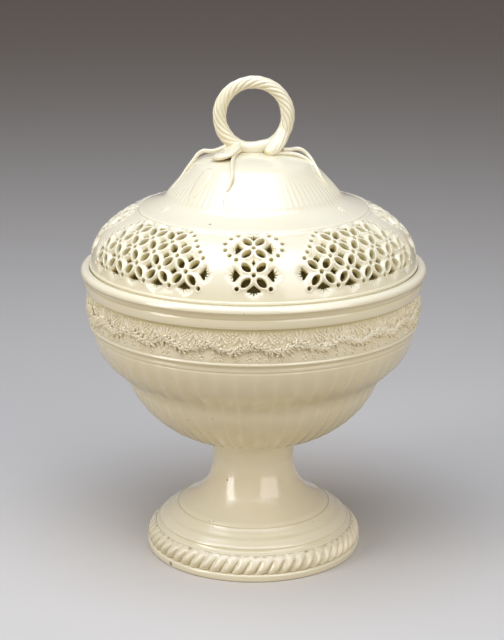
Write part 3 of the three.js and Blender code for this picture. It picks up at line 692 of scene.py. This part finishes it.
def lay_spray(sprays, start):
    """A fan of tall leaves over a crest of the garland, and a bunch of berries over the next hollow."""
    for tilt, size in FAN_OF_LEAVES:
        sprays.lay(TALL_LEAF, start, SPRAY_FOOT, tilt, size=size)
    sprays.lay(BERRY, start, 11.9, lift=0.6)
    bunch = start + 0.5 * REPEAT
    for across, up in BUNCH:
        sprays.lay(BERRY, bunch + across / FRIEZE_RADIUS, 11.6 + up, size=0.85)
    for side in (-1, 1):
        for across, up in ((0.058, 15.2), (0.072, 13.2), (0.05, 17.0), (0.084, 14.6)):
            sprays.lay(BERRY, start + side * across, up, size=0.75)
        sprays.lay(FLAT_LEAF, start + side * 0.062, 11.6, side * -0.4)
        sprays.lay(FLAT_LEAF, start + side * 0.1, 11.9, side * 0.5)
        sprays.lay(FLAT_LEAF, bunch + side * 0.012, 10.4, side * -0.9)
        sprays.lay(FLAT_LEAF, bunch + side * 0.026, 15.0, side * -0.6, size=0.9)


def frieze_pieces():
    draw = random.Random(7)
    garland, sprays = Frieze(), Frieze()
    for start in (REPEAT * i for i in range(FRIEZE_REPEATS)):
        lay_garland(garland, start, draw)
        lay_sprigs(garland, start, draw)
        lay_spray(sprays, start)
    make_piece("garland_relief", *joined(garland.forms), "basket", "relief_glaze", ["frieze_garland"])
    names = [f"frieze_spray_{i + 1:02d}" for i in range(FRIEZE_REPEATS)]
    make_piece("frieze_sprays", *joined(sprays.forms), "basket", "relief_glaze", names)


frieze_pieces()


# Pierced shoulder

SHOULDER_STEPS = 400
CAVETTO_START = (SHOULDER_TOP_RADIUS - 2.7, SHOULDER_TOP + 0.9)
CAVETTO = bezier(CAVETTO_START, (55.5, 208.5), (51.2, 209.6), (CROWN_FOOT_RADIUS, CROWN_FOOT), 24)
SHOULDER = [(SHOULDER_FOOT_RADIUS, EDGE_TOP - 1.0), (SHOULDER_FOOT_RADIUS, EDGE_TOP)]
carry_on(SHOULDER, ((92.5, 187.85), (83.8, 196.82), (SHOULDER_TOP_RADIUS, SHOULDER_TOP), SHOULDER_STEPS))
SHOULDER = np.array([*SHOULDER, CAVETTO_START])
ALONG = np.concatenate([[0], np.cumsum(np.hypot(*np.diff(SHOULDER, axis=0).T))]) - 1.0
SHOULDER_LENGTH = ALONG[SHOULDER_STEPS + 1]
SHOULDER_NORMALS = profile_normals(SHOULDER)
SEAM_AT = ALONG[-1] - SHOULDER_LENGTH
ROW_STEP = (SHOULDER_LENGTH - FIRST_ROW - LAST_ROW) / 4


def shoulder_radius(along):
    return np.interp(along, ALONG, SHOULDER[:, 0])


def lattice(pitches, row, middle):
    """Azimuth in degrees, and place along the shoulder, of a lattice point."""
    return middle + pitches * LATTICE_PITCH, FIRST_ROW + row * ROW_STEP


def hole(outline, azimuth, along, turn=0.0):
    """A hole's outline on the flat shoulder, from its shape in true millimetres."""
    x, y = turned(outline, turn).T
    y = along + y
    x = math.radians(azimuth) + x / shoulder_radius(along)
    return np.stack([x * MEAN_RADIUS, y], axis=1)


def holes_at(outline, middle, places, turn=0.0):
    """The same hole at places given in pitches and rows."""
    return [hole(outline, *lattice(pitches, row, middle), turn) for pitches, row in places]


def round_angles(steps):
    return np.linspace(0, math.tau, steps, endpoint=False)


def petal_outline(steps=9):
    """A pointed almond along X."""
    angles = np.linspace(0, math.pi, steps)[:-1]
    side = [(0.5 * PETAL_LENGTH * math.cos(a), 0.5 * PETAL_WIDTH * math.sin(a) ** 1.25) for a in angles]
    return side + [(-x, -y) for x, y in side]


def dot_outline(steps=14):
    return [(DOT_RADIUS * math.cos(a), DOT_RADIUS * math.sin(a)) for a in round_angles(steps)]


def cell_outline(width, height, steps=20, power=1.05):
    """A diamond with its corners towards the four neighbours."""
    points = []
    for a in round_angles(steps):
        c, s = math.cos(a), math.sin(a)
        x = math.copysign(abs(c) ** (2 / power) * width, c)
        y = math.copysign(abs(s) ** (2 / power) * height, s)
        points.append((x, y))
    return points


def club_outline(size, steps=50):
    """A fan on a point that looks along -Y: two round lobes with three thin ones between them."""
    points = [(0.0, -2.5 * size)]
    for a in np.linspace(-FAN_ANGLE, FAN_ANGLE, steps):
        round_lobe = math.exp(-(abs(abs(a) - ROUND_LOBE_ANGLE) / ROUND_LOBE_SPREAD) ** 3)
        side_lobe = math.exp(-(((abs(a) - THIN_LOBE_ANGLE) / THIN_LOBE_SPREAD) ** 2))
        thin_lobe = math.exp(-((a / THIN_LOBE_SPREAD) ** 2)) + 0.8 * side_lobe
        reach = size * (1.9 + 1.25 * round_lobe + 1.5 * thin_lobe)
        points.append((-reach * math.sin(a), reach * math.cos(a) - 1.1 * size))
    return points[::-1]


DOT = dot_outline()
CLUB = club_outline(CLUB_SIZE)


def petals_of(middle, counts):
    """The petals of a panel, which lean left and right in turn."""
    holes = []
    for row, count in enumerate(counts):
        for i in range(count):
            place = i - (count - 1) / 2
            lean = 1 if (math.floor(place) + row) % 2 else -1
            azimuth, along = lattice(place / 2, row + 0.5, middle)
            run = lean * math.radians(LATTICE_PITCH / 2) * shoulder_radius(along)
            holes.append(hole(petal_outline(), azimuth, along, math.atan2(ROW_STEP, run)))
    return holes


def rows_of(*rows):
    """Places one pitch apart, centred on the panel, from the count and row of each line."""
    return [(i - (count - 1) / 2, row) for count, row in rows for i in range(count)]


# Pitches and row of each dot along one side of a panel
NARROW_BORDER = ((0.64, 4.06), (0.91, 3.76), (1.1, 3.28), (1.04, 2.74), (0.85, 2.34), (0.6, 2.05))
WIDE_BORDER = ((2.48, 2.03), (2.3, 2.47), (2.13, 2.89), (1.95, 3.37), (1.75, 3.8), (1.5, 4.1))


def narrow_panel(middle):
    dots = holes_at(DOT, middle, ((0, 1), (0, 3), (-0.53, 0.1), (0.53, 0.1)))
    cells = holes_at(cell_outline(1.1, 1.9), middle, [(0, 1.95)])
    clubs = holes_at(club_outline(1.1), middle, [(0, 4.06)]) + holes_at(CLUB, middle, [(0, -0.02)], math.pi)
    for side in (-1, 1):
        clubs += holes_at(CLUB, middle, [(side * 0.62, 1), (side * 0.62, 3)], -side * math.pi / 2)
        dots += holes_at(DOT, middle, [(side * pitches, row) for pitches, row in NARROW_BORDER])
    return petals_of(middle, [2, 2, 2, 2]), dots, cells, clubs


def wide_panel(middle):
    dots = holes_at(DOT, middle, rows_of((5, 1), (3, 3), (4, 2), (6, 0)))
    cells = []
    for pitches, row in rows_of((4, 1), (5, 2), (4, 3)):
        azimuth, along = lattice(pitches, row, middle)
        narrow = shoulder_radius(along) / shoulder_radius(FIRST_ROW + ROW_STEP)
        outline = [(x * narrow, y) for x, y in cell_outline(CELL_SIZE, CELL_SIZE)]
        cells.append(hole(outline, azimuth, along))
    clubs = holes_at(club_outline(1.05), middle, rows_of((3, 4.04)))
    clubs += holes_at(CLUB, middle, rows_of((5, 0.0)), math.pi)
    for side in (-1, 1):
        clubs += holes_at(CLUB, middle, [(side * 2.63, 1)], -side * math.pi / 2)
        dots += holes_at(DOT, middle, [(side * pitches, row) for pitches, row in WIDE_BORDER])
    return petals_of(middle, [10, 10, 8, 6]), dots, cells, clubs


def spread(outline, distance):
    """The outline moved outwards along its own normals."""
    ahead = unit(np.roll(outline, -1, axis=0) - np.roll(outline, 1, axis=0))
    return outline + distance * np.stack([ahead[:, 1], -ahead[:, 0]], axis=1)


def boxed(points, low, high):
    """Which points lie between two corners."""
    return np.all((points > low) & (points < high), axis=1)


def edge_distance(points, holes):
    """Distance from each point to the nearest hole's edge, where near."""
    nearest = np.full(len(points), 50.0)
    for outline in holes:
        near = np.nonzero(boxed(points, outline.min(0) - 3, outline.max(0) + 3))[0]
        if not len(near):
            continue
        start = outline[None]
        run = np.roll(outline, -1, axis=0)[None] - start
        to = points[near, None] - start
        share = np.clip(np.sum(to * run, axis=2) / (np.sum(run * run, axis=2) + 1e-12), 0, 1)
        away = np.linalg.norm(to - share[..., None] * run, axis=2).min(1)
        nearest[near] = np.minimum(nearest[near], away)
    return nearest


def in_holes(points, holes):
    """Which points lie inside a hole."""
    inside = np.zeros(len(points), bool)
    for outline in holes:
        near = np.nonzero(boxed(points, outline.min(0), outline.max(0)))[0]
        x, y = points[near].T
        crossed = np.zeros(len(near), bool)
        for (x0, y0), (x1, y1) in zip(outline, np.roll(outline, -1, axis=0)):
            cuts = (y0 > y) != (y1 > y)
            with np.errstate(divide="ignore", invalid="ignore"):
                crossed ^= cuts & (x < (x1 - x0) * (y - y0) / (y1 - y0) + x0)
        inside[near] |= crossed
    return inside


def quarter_net(holes):
    """Triangles of one quarter of the shoulder round its holes, in the flat."""
    left = math.radians(QUARTER_START) * MEAN_RADIUS
    right = left + math.pi / 2 * MEAN_RADIUS
    width = right - left
    bottom, top = ALONG[0], ALONG[-1]
    columns = math.ceil(width / NET_SPACING)
    close_rows = SHOULDER_LENGTH - 0.6
    heights = [*np.arange(bottom, close_rows, NET_SPACING), *np.linspace(close_rows + 0.3, top, 11)]
    border = [(left + width * j / columns, y) for y in (bottom, top) for j in range(columns + 1)]
    border += [(x, y) for x in (left, right) for y in heights[1:-1]]
    inner = []
    for i in range(1, len(heights) - 1):
        shift = 0.5 if i % 2 else 0.0
        inner += [(left + width * (j + shift) / columns, heights[i]) for j in range(1, columns)]
    inner = np.array(inner)
    inner = inner[~in_holes(inner, holes)]
    inner = inner[edge_distance(inner, holes) > 2.0]
    rings = [np.zeros((0, 2))]
    for distance in (0.12, 0.36, 0.8, 1.25, 1.7):
        for outline in holes:
            ring = spread(outline, distance)
            ring = ring[boxed(ring, (left + 0.5, bottom + 0.4), (right - 0.5, top - 0.4))]
            ring = ring[~in_holes(ring, holes)]
            rings.append(ring[edge_distance(ring, holes) > 0.85 * distance])
    points = [*border, *inner.tolist(), *np.vstack(rings).tolist()]
    edges = []
    for outline in holes:
        first = len(points)
        points += outline.tolist()
        edges += [(first + i, first + (i + 1) % len(outline)) for i in range(len(outline))]
    made, _, triangles, *_ = delaunay_2d_cdt([Vector(p) for p in points], edges, [], 0, 1e-5)
    made = np.array([(p.x, p.y) for p in made])
    triangles = np.array(triangles)
    return made, triangles[~in_holes(made[triangles].mean(axis=1), holes)].tolist()


def shoulder_point(flat, depth):
    """A point of the shoulder's skin, sunk by a depth along its normal."""
    at, axes = flat[:, 1], (0, 1)
    radius, height = (np.interp(at, ALONG, SHOULDER[:, k]) for k in axes)
    across, up = (np.interp(at, ALONG, SHOULDER_NORMALS[:, k]) for k in axes)
    return round_axis(radius - depth * across, flat[:, 0] / MEAN_RADIUS, height - depth * up)


def rim(away, width):
    """1 on a flat rim of a width along an edge, and 0 beyond its rounded flank."""
    return 1 - smooth_step(0.72 * width, 1.15 * width, away)


def pierced_quarter():
    """A quarter of the shoulder's shell: both skins, with raised rims, and the walls of its holes."""
    groups = [narrow + wide for narrow, wide in zip(narrow_panel(0.0), wide_panel(45.0))]
    holes = sum(groups, [])
    flat, triangles = quarter_net(holes)
    away = edge_distance(flat, holes)
    from_petal, from_dot, from_cell, from_club = (edge_distance(flat, group) for group in groups)
    petal_rim = rim(from_petal, RIM_WIDTH)
    dot_rim = rim(from_dot, 0.6 * RIM_WIDTH)
    ground = np.maximum(hump(from_cell, 2.6), 0.3 * hump(from_club, 0.7))
    raised = np.maximum(petal_rim, dot_rim)
    ground = GROUND_DEPTH * ground * (1 - raised)
    beyond = flat[:, 1] - SHOULDER_LENGTH
    groove = (0.45 * hump(beyond, 0.4) - 0.4 * hump(beyond - 1.4, 0.8)) * (1 - hump(away, 1.2))
    groove = groove + SEAM_DEPTH * smooth_step(2.0, SEAM_AT, beyond)
    edge = np.clip(1 - away / HOLE_ROUNDING, 0, 1)
    sunk = HOLE_ROUNDING * (1 - np.sqrt(1 - 0.98 * edge**2)) + ground + groove
    sunk = sunk - RIM_HEIGHT * np.maximum(petal_rim, 0.7 * dot_rim)
    outer = shoulder_point(flat, sunk)
    inner = shoulder_point(flat, np.full(len(flat), COVER_WALL))
    left, right = flat[:, 0].min(), flat[:, 0].max()
    on_cut = (flat[:, 0] < left + 1e-4) | (flat[:, 0] > right - 1e-4)
    sides = [pair for a, b, c in triangles for pair in ((a, b), (b, c), (c, a))]
    known = set(sides)
    open_sides = [(a, b) for a, b in sides if (b, a) not in known and not (on_cut[a] and on_cut[b])]
    count = len(flat)
    wall = sorted({i for pair in open_sides for i in pair})
    order = {v: k for k, v in enumerate(wall)}
    levels = [outer[wall] + (inner[wall] - outer[wall]) * share for share in WALL_LEVELS]
    faces = triangles + [(count + c, count + b, count + a) for a, b, c in triangles]
    for pair in open_sides:
        firsts = range(2 * count, 2 * count + len(levels) * len(wall), len(wall))
        down_a, down_b = ([v, *(first + order[v] for first in firsts), count + v] for v in pair)
        for k in range(len(down_a) - 1):
            faces.append((down_b[k], down_a[k], down_a[k + 1], down_b[k + 1]))
    pool = [0.5 - 0.2 * raised + 0.15 * ground / GROUND_DEPTH, np.full(count, 0.56)]
    pool += [np.full(len(wall), level) for level in WALL_POOLS]
    # The inside tint on the inner skin, growing down the hole walls, is pooled glaze and painted warm
    # bounce light of the shaded inside.
    inside = [np.zeros(count), np.ones(count), *(np.full(len(wall), share) for share in WALL_LEVELS)]
    return np.vstack([outer, inner, *levels]), faces, np.concatenate(pool), np.concatenate(inside)


def shoulder_piece():
    """Four quarters of the shoulder, joined where they meet."""
    quarter, faces, pool, inside = pierced_quarter()
    turns = [np.array(Matrix.Rotation(k * math.pi / 2, 3, "Z")) for k in range(4)]
    points, faces = joined([(quarter @ turn.T, faces) for turn in turns])
    keys = np.round(points, 3) + 0.0
    _, first, back = np.unique(keys, axis=0, return_index=True, return_inverse=True)
    back = back.ravel().tolist()
    faces = [tuple(dict.fromkeys(back[i] for i in face)) for face in faces]
    faces = [face for face in faces if len(face) > 2]
    make_piece("pierced_shoulder", points[first], faces, "cover", "cream_glaze", ["cover_shell"],
               pool=np.tile(pool, 4)[first], inside=np.tile(inside, 4)[first])


shoulder_piece()


# Crown of the cover, and its edge with the flange


def crown_outline():
    """The outside of the crown from the groove to its top."""
    seam = (CAVETTO_START[0] - 0.3 * SEAM_DEPTH, CAVETTO_START[1] - 0.95 * SEAM_DEPTH)
    outline = [seam, (CAVETTO_START[0] - 0.6, CAVETTO_START[1] + 0.15), *CAVETTO]
    carry_on(
        outline,
        ((46.3, 217.4), (38.2, 225.6), (CROWN_TOP_RADIUS, CROWN_SHOULDER), 20),
        ((31.4, 233.1), (19.2, CROWN_TOP), (0, CROWN_TOP), 30),
    )
    return outline


CROWN = crown_outline()
CROWN_RADII, CROWN_HEIGHTS = np.array(CROWN)[::-1].T


def lid_inside(points, normals):
    """1 on the skin that faces down into the bowl, which takes the inside tint: pooled glaze and painted
    warm bounce light of the shaded inside.
    """
    return normals[:, 2] < -0.3


def crown_profile():
    inner = [(0, CROWN_TOP - COVER_WALL)]
    carry_on(inner, ((17.5, 232.5), (26.5, 229.5), (31.0, 227.0), 12))
    inner += [(44.6, 211.0), (50.0, 206.6), (CROWN[0][0] - 1.4, CROWN[0][1] - 3.75)]
    return np.vstack([resampled(CROWN, 0.9), inner])


def crown_relief(azimuth, radius, height, normals):
    """Shallow flutes on the flank of the bell, strongest at its left and right."""
    depth, _ = flute(azimuth, CROWN_FLUTES, 0)
    ends = smooth_step(209.5, 215, height) * (1 - smooth_step(219, 230, height))
    flanks = 0.2 + 0.8 * np.sin(azimuth) ** 2
    outside = np.arange(len(radius))[:, None] < np.argmin(radius[:, 0])
    return np.where(outside, -CROWN_FLUTE_DEPTH * depth * ends * flanks, 0.0)


make_piece("crown", *revolved(crown_profile(), CROWN_FLUTES * 6, crown_relief), "cover", "cream_glaze",
           inside=lid_inside)


def edge_profile():
    rim_radius, flange_inside = EDGE_RADIUS + 0.35, FLANGE_RADIUS - FLANGE_THICKNESS
    return resampled([
        (EDGE_RADIUS - 0.5, LEDGE_HEIGHT + 0.05), (EDGE_RADIUS, LEDGE_HEIGHT + 0.5), (EDGE_RADIUS, LIP_TOP),
        (rim_radius, LIP_TOP + 0.5), (rim_radius, EDGE_TOP - 0.6), (EDGE_RADIUS, EDGE_TOP - 0.1),
        (SHOULDER_FOOT_RADIUS - 0.5, EDGE_TOP - 0.3), (EDGE_RADIUS - COVER_WALL - 0.6, EDGE_TOP - 0.3),
        (flange_inside, LEDGE_HEIGHT), (flange_inside, FLANGE_BOTTOM + 0.5),
        (flange_inside + 0.5, FLANGE_BOTTOM), (FLANGE_RADIUS - 0.5, FLANGE_BOTTOM),
        (FLANGE_RADIUS, FLANGE_BOTTOM + 0.5), (FLANGE_RADIUS, LEDGE_HEIGHT + 0.05),
    ], 1.5)


make_piece("cover_edge", *revolved(edge_profile(), EDGE_SEGMENTS), "cover", "cream_glaze", hollow_reach=2)


# Ring handle


def ring_handle():
    """A ring of twisted rope, pressed smooth and thinner inside where it meets the crown."""
    steps, sides = 360, ROPE_STRANDS * 10
    turn = math.tau * np.arange(steps)[:, None] / steps
    spin = math.tau * np.arange(sides)[None, :] / sides
    across = np.mod(ROPE_STRANDS * (spin - ROPE_LAYS * turn) / (math.tau), 1)
    swell = np.sqrt(np.clip(1 - 0.97 * (2 * across - 1) ** 2, 0, 1))
    from_bottom = np.abs(np.mod(turn - 1.5 * math.pi - 0.12 + math.pi, math.tau) - math.pi)
    twisted = 0.12 + 0.88 * smooth_step(0.42, 0.72, from_bottom)
    uneven = 0.1 * np.sin(5 * turn + 1) + 0.09 * np.sin(9 * turn)
    thick = ROPE_RADIUS - 0.1 + uneven * 0.7 - ROPE_GROOVE * (1 - swell) * twisted
    fuller = hump(from_bottom - 0.97, 0.35)
    sideways = np.sin(from_bottom) ** 2
    thick = thick + 0.15 * fuller + 0.35 * sideways
    inside = np.clip(-np.cos(spin), 0, 1) ** 2
    reach = RING_RADIUS + 0.2 * fuller + 0.3 * sideways + thick * np.cos(spin)
    reach = reach - 0.8 * inside * (1 - smooth_step(0.1, 0.5, from_bottom))
    upright = [reach * np.cos(turn), -thick * np.sin(spin), RING_MIDDLE + reach * np.sin(turn)]
    points = np.stack(upright, axis=2).reshape(-1, 3)
    return points, flipped(grid_faces(steps, sides, closed_rows=True))


make_piece("ring_handle_skin", *ring_handle(), "cover", "handle_glaze", ["ring_handle"], hollow_reach=0.25)


# Twigs, tails, leaves and rosettes


def tube(stations, radii, sides=14, rounds=6, flat=1.0):
    """A closed round bar through the stations, with its own thickness at each."""
    stations, radii = np.array(stations, float), np.array(radii, float)
    at = np.arange(len(stations))
    fine = np.linspace(0, len(stations) - 1, (len(stations) - 1) * rounds + 1)
    path = np.stack([spline(at, stations[:, k], fine) for k in range(3)], axis=1)
    thick = spline(at, radii, fine)
    ahead = unit(np.gradient(path, axis=0))
    upwards = unit(np.column_stack([path[:, :2], np.full(len(path), 30.0)]))
    side = unit(np.cross(ahead, upwards))
    out = np.cross(side, ahead)
    a = math.tau * np.arange(sides)[:, None] / sides
    ring = np.cos(a) * side[:, None] / flat**0.5 + np.sin(a) * out[:, None] * flat**0.5
    points = [*(path[:, None] + thick[:, None, None] * ring).reshape(-1, 3)]
    faces = grid_faces(len(path), sides)
    for end, way in ((0, -1), (len(path) - 1, 1)):
        points.append(path[end] + way * 0.6 * thick[end] * ahead[end])
        faces += fan_faces(len(points) - 1, range(end * sides, (end + 1) * sides), way > 0)
    return np.array(points), faces


def about(radius, degrees, height):
    """A point at an angle from +X, as the frame counts it."""
    a = math.radians(degrees)
    return (radius * math.cos(a), radius * math.sin(a), height)


TWIGS = {  # stations and radii
    "left_twig": (
        [(-15.5, -2.5, 239.8), (-20.5, -1.2, 237.6), (-24.6, -0.6, 236.9), (-28.3, -0.5, 237.1),
         (-31.6, -0.8, 235.1), (-34.2, -1.4, 231.6), about(37.6, 184, 227.4), about(41.6, 186, 222.0),
         about(47.6, 187, 215.0)],
        [1.6, 1.35, 1.2, 1.2, 1.15, 1.15, 1.1, 0.95, 0.45]),
    "right_twig": (
        [(16.5, -2.5, 238.2), (20.5, -1.2, 237.9), (25.3, -0.8, 238.3), (28.7, -0.4, 236.6),
         about(32.2, -4, 233.2), about(35.9, -14, 229.5), about(41.4, -20, 222.8), about(47.2, -17, 215.2)],
        [1.3, 1.25, 1.25, 1.25, 1.2, 1.1, 0.95, 0.45]),
    "right_lower_twig": (
        [(9.5, -5.5, 236.6), (14.5, -4.5, 236.4), (19.8, -3.5, 236.2), (24.5, -3.0, 235.4),
         (28.6, -4.0, 233.9), (31.8, -6.0, 231.8), (33.6, -8.2, 230.0)],
        [1.3, 1.2, 1.15, 1.05, 1.0, 0.85, 0.5]),
    "front_twig": (
        [(-8.2, -4.2, 238.2), (-10.6, -12.0, 236.9), (-11.9, -25.0, 234.8), (-11.8, -34.6, 229.7),
         (-13.0, -37.7, 225.3), (-14.6, -39.4, 221.9)],
        [1.6, 1.2, 1.05, 0.95, 0.85, 0.5]),
}
TWIGS["back_twig"] = ([(-x, -y, z) for x, y, z in TWIGS["front_twig"][0]], TWIGS["front_twig"][1])
for name, twig in TWIGS.items():
    make_piece(name + "_bar", *tube(*twig), "cover", "handle_glaze", [name], hollow_reach=4)


def crown_height(radius):
    return np.interp(radius, CROWN_RADII, CROWN_HEIGHTS)


def laid_on_crown(points, degrees, radius, turn=0.0):
    """Lays a flat form on the crown: its +Y runs down the flank and its Z stands off the surface."""
    x, y, z = turned(points, turn).T
    at = radius + y / math.hypot(1, crown_height(radius + 0.5) - crown_height(radius - 0.5))
    step = (crown_height(at + 0.4) - crown_height(at - 0.4)) / 0.8
    length = np.hypot(1, step)
    angle = math.radians(degrees) - x / np.maximum(at, 5)
    r = at - z * step / length
    return np.stack([r * np.cos(angle), r * np.sin(angle), crown_height(at) + z / length], axis=1)


def crown_leaf(name, degrees, radius, length, width, turn, curl):
    points, faces = leaf_points(length, width, 0.34, curl, 17, 13)
    laid = laid_on_crown(points, degrees, radius, turn)
    make_piece(name + "_form", laid, flipped(faces), "cover", "cream_glaze", [name], hollow_reach=2)


crown_leaf("left_leaf", 222, 33.0, 18.0, 9.0, 0.12, 0.12)
crown_leaf("front_leaf", -109, 42.4, 12.5, 4.5, 0.05, -0.1)
crown_leaf("back_leaf", 71, 42.4, 12.5, 4.5, 0.05, -0.1)


def rope_end(name, stations, radii, strands, furrow, flat, pooled_tip):
    """A tail of the rope, with its strands running on along it and fading towards a round tip."""
    points, faces = tube(stations, radii, TAIL_SIDES, 10, flat)
    ring = points[:-2].reshape(-1, TAIL_SIDES, 3)
    share = np.linspace(0, 1, len(ring))[:, None]
    across = np.mod(strands * (np.arange(TAIL_SIDES) / TAIL_SIDES - 0.35 * share), 1)
    swell = np.sqrt(1 - 0.97 * (2 * across - 1) ** 2)
    depth = furrow * (1 - swell) * (1 - smooth_step(0.7, 1.0, share))
    out = ring - ring.mean(axis=1, keepdims=True)
    ring -= out * np.minimum(0.9, depth / np.linalg.norm(out, axis=2))[..., None]
    along = np.append(np.repeat(share, TAIL_SIDES), (0, 1))
    pool = 0.45 + 0.45 * pooled_tip * smooth_step(0.9, 1.0, along)
    make_piece(name + "_tail", points, faces, "cover", "handle_glaze", [name], pool=pool)


rope_end("left_rope_end",
         [(-10.4, 1.2, 241.6), (-11.6, -3.4, 239.8), (-13.4, -8.2, 238.5), (-15.7, -12.3, 237.5),
          (-17.9, -15.5, 236.8), (-19.3, -17.8, 236.2)],
         [2.0, 2.8, 3.3, 3.6, 3.7, 2.7], 10, 0.35, 0.3, 0.0)
rope_end("right_rope_end",
         [(17.4, -0.6, 249.0), (14.9, -3.0, 244.3), (12.3, -4.9, 241.0), (9.6, -6.4, 238.5),
          (7.2, -7.6, 237.0)],
         [3.4, 3.8, 3.9, 3.4, 2.0], 11, 0.75, 0.8, 1.0)


def rosette(name, degrees):
    """A flat flower boss with six petals round a button."""
    petal, faces = leaf_points(2.9, 1.9, 0.45, 0, 7, 7)
    forms = [(turned(petal, k * math.pi / 3), faces) for k in range(6)]
    forms.append((BERRY[0] + np.array([0, 0, 0.1]), BERRY[1]))
    points, faces = joined(forms)
    laid = laid_on_crown(points, degrees, ROSETTE_RADIUS)
    make_piece(name + "_boss", laid, flipped(faces), "cover", "handle_glaze", [name], hollow_reach=2)


rosette("left_rosette", 207)
rosette("right_rosette", -27)


# Floor, lights and camera

FLOOR_REACH = 6.0
FLOOR_COLOUR = (0.66, 0.62, 0.56)
BOUNCE = (0.31, 0.24, 0.11)  # the warm light that the floor gives back
LAMP_TARGET = (0, 0, 0.14)
LENS = 98.44
CAMERA_PLACE = (-0.0009, -0.978, 0.4205)
CAMERA_PITCH = 16.15  # degrees below the horizontal


def plain(name, colour, roughness):
    """A pale floor that shows the same paleness to the camera and in the gloss."""
    material = bpy.data.materials.new(name)
    tree = Tree(material)
    clouds = tree.add("ShaderNodeTexNoise", {"Scale": 3.0}).outputs["Fac"]
    pale = tree.mixed(clouds, colour, tuple(c * 0.96 for c in colour))
    shader = tree.nodes["Principled BSDF"]
    tree.feed(shader.inputs["Roughness"], roughness)
    tree.feed(shader.inputs["Base Color"], tree.mixed(tree.seen(), BOUNCE, pale))
    return material


corners = [(x * FLOOR_REACH, y * FLOOR_REACH, 0) for x, y in ((-1, -1), (1, -1), (1, 1), (-1, 1))]
floor_mesh = bpy.data.meshes.new("floor")
floor_mesh.from_pydata(corners, [], [(0, 1, 2, 3)])
floor = bpy.data.objects.new("floor", floor_mesh)
bpy.context.collection.objects.link(floor)
floor_mesh.materials.append(plain("floor_paper", FLOOR_COLOUR, 0.6))


def fade_edges(data):
    """Lets an area lamp shine most in its middle and fade towards its edges."""
    tree = Tree(data)
    place = tree.add("ShaderNodeSeparateXYZ", {0: tree.add("ShaderNodeNewGeometry").outputs["Parametric"]})
    bows = []
    for axis in ("X", "Y"):
        share = place.outputs[axis]
        bow = tree.operation("MULTIPLY", share, tree.operation("SUBTRACT", 1.0, share))
        bows.append(tree.operation("MULTIPLY", bow, 6.0))
    tree.feed(tree.nodes["Emission"].inputs["Strength"], tree.operation("MULTIPLY", *bows))


def lamp(name, location, size, power, colour, faded=False):
    data = bpy.data.lights.new(name, "AREA")
    if faded:
        fade_edges(data)
    data.shape = "RECTANGLE"
    data.size, data.size_y = size
    data.energy = power
    data.color = colour
    light = bpy.data.objects.new(name, data)
    light.location = location
    light.rotation_euler = (Vector(LAMP_TARGET) - Vector(location)).to_track_quat("-Z", "Y").to_euler()
    bpy.context.collection.objects.link(light)


lamp("overhead_softbox", (-0.08, -0.28, 1.25), (2.0, 1.25), 17.9, (0.71, 0.81, 1.0), faded=True)
lamp("left_strip", (-1.05, -0.58, 0.62), (0.4, 1.2), 8.3, (1, 0.965, 0.96))
lamp("right_fill", (0.85, -0.95, 0.6), (1.1, 1.2), 9.6, (1, 0.96, 0.95))

world = bpy.data.worlds.new("studio")
bpy.context.scene.world = world
tree = Tree(world)
dim = tree.nodes["Background"]
tree.feed(dim.inputs["Color"], (1, 0.9, 0.8))
tree.feed(dim.inputs["Strength"], 0.02)
bright = tree.add("ShaderNodeBackground", {"Color": (1, 0.83, 0.76), "Strength": 0.48})
backdrop = tree.add("ShaderNodeMixShader", {0: tree.seen(), 1: dim.outputs[0], 2: bright.outputs[0]})
tree.feed(tree.nodes["World Output"].inputs["Surface"], backdrop.outputs[0])

camera_data = bpy.data.cameras.new("camera")
camera_data.lens = LENS
camera_data.sensor_width = 36
camera = bpy.data.objects.new("camera", camera_data)
bpy.context.collection.objects.link(camera)
turned_down = Matrix.Rotation(math.radians(90 - CAMERA_PITCH), 4, "X")
camera.matrix_world = Matrix.Translation(CAMERA_PLACE) @ turned_down
bpy.context.scene.camera = camera
bpy.context.scene.view_settings.view_transform = "Standard"
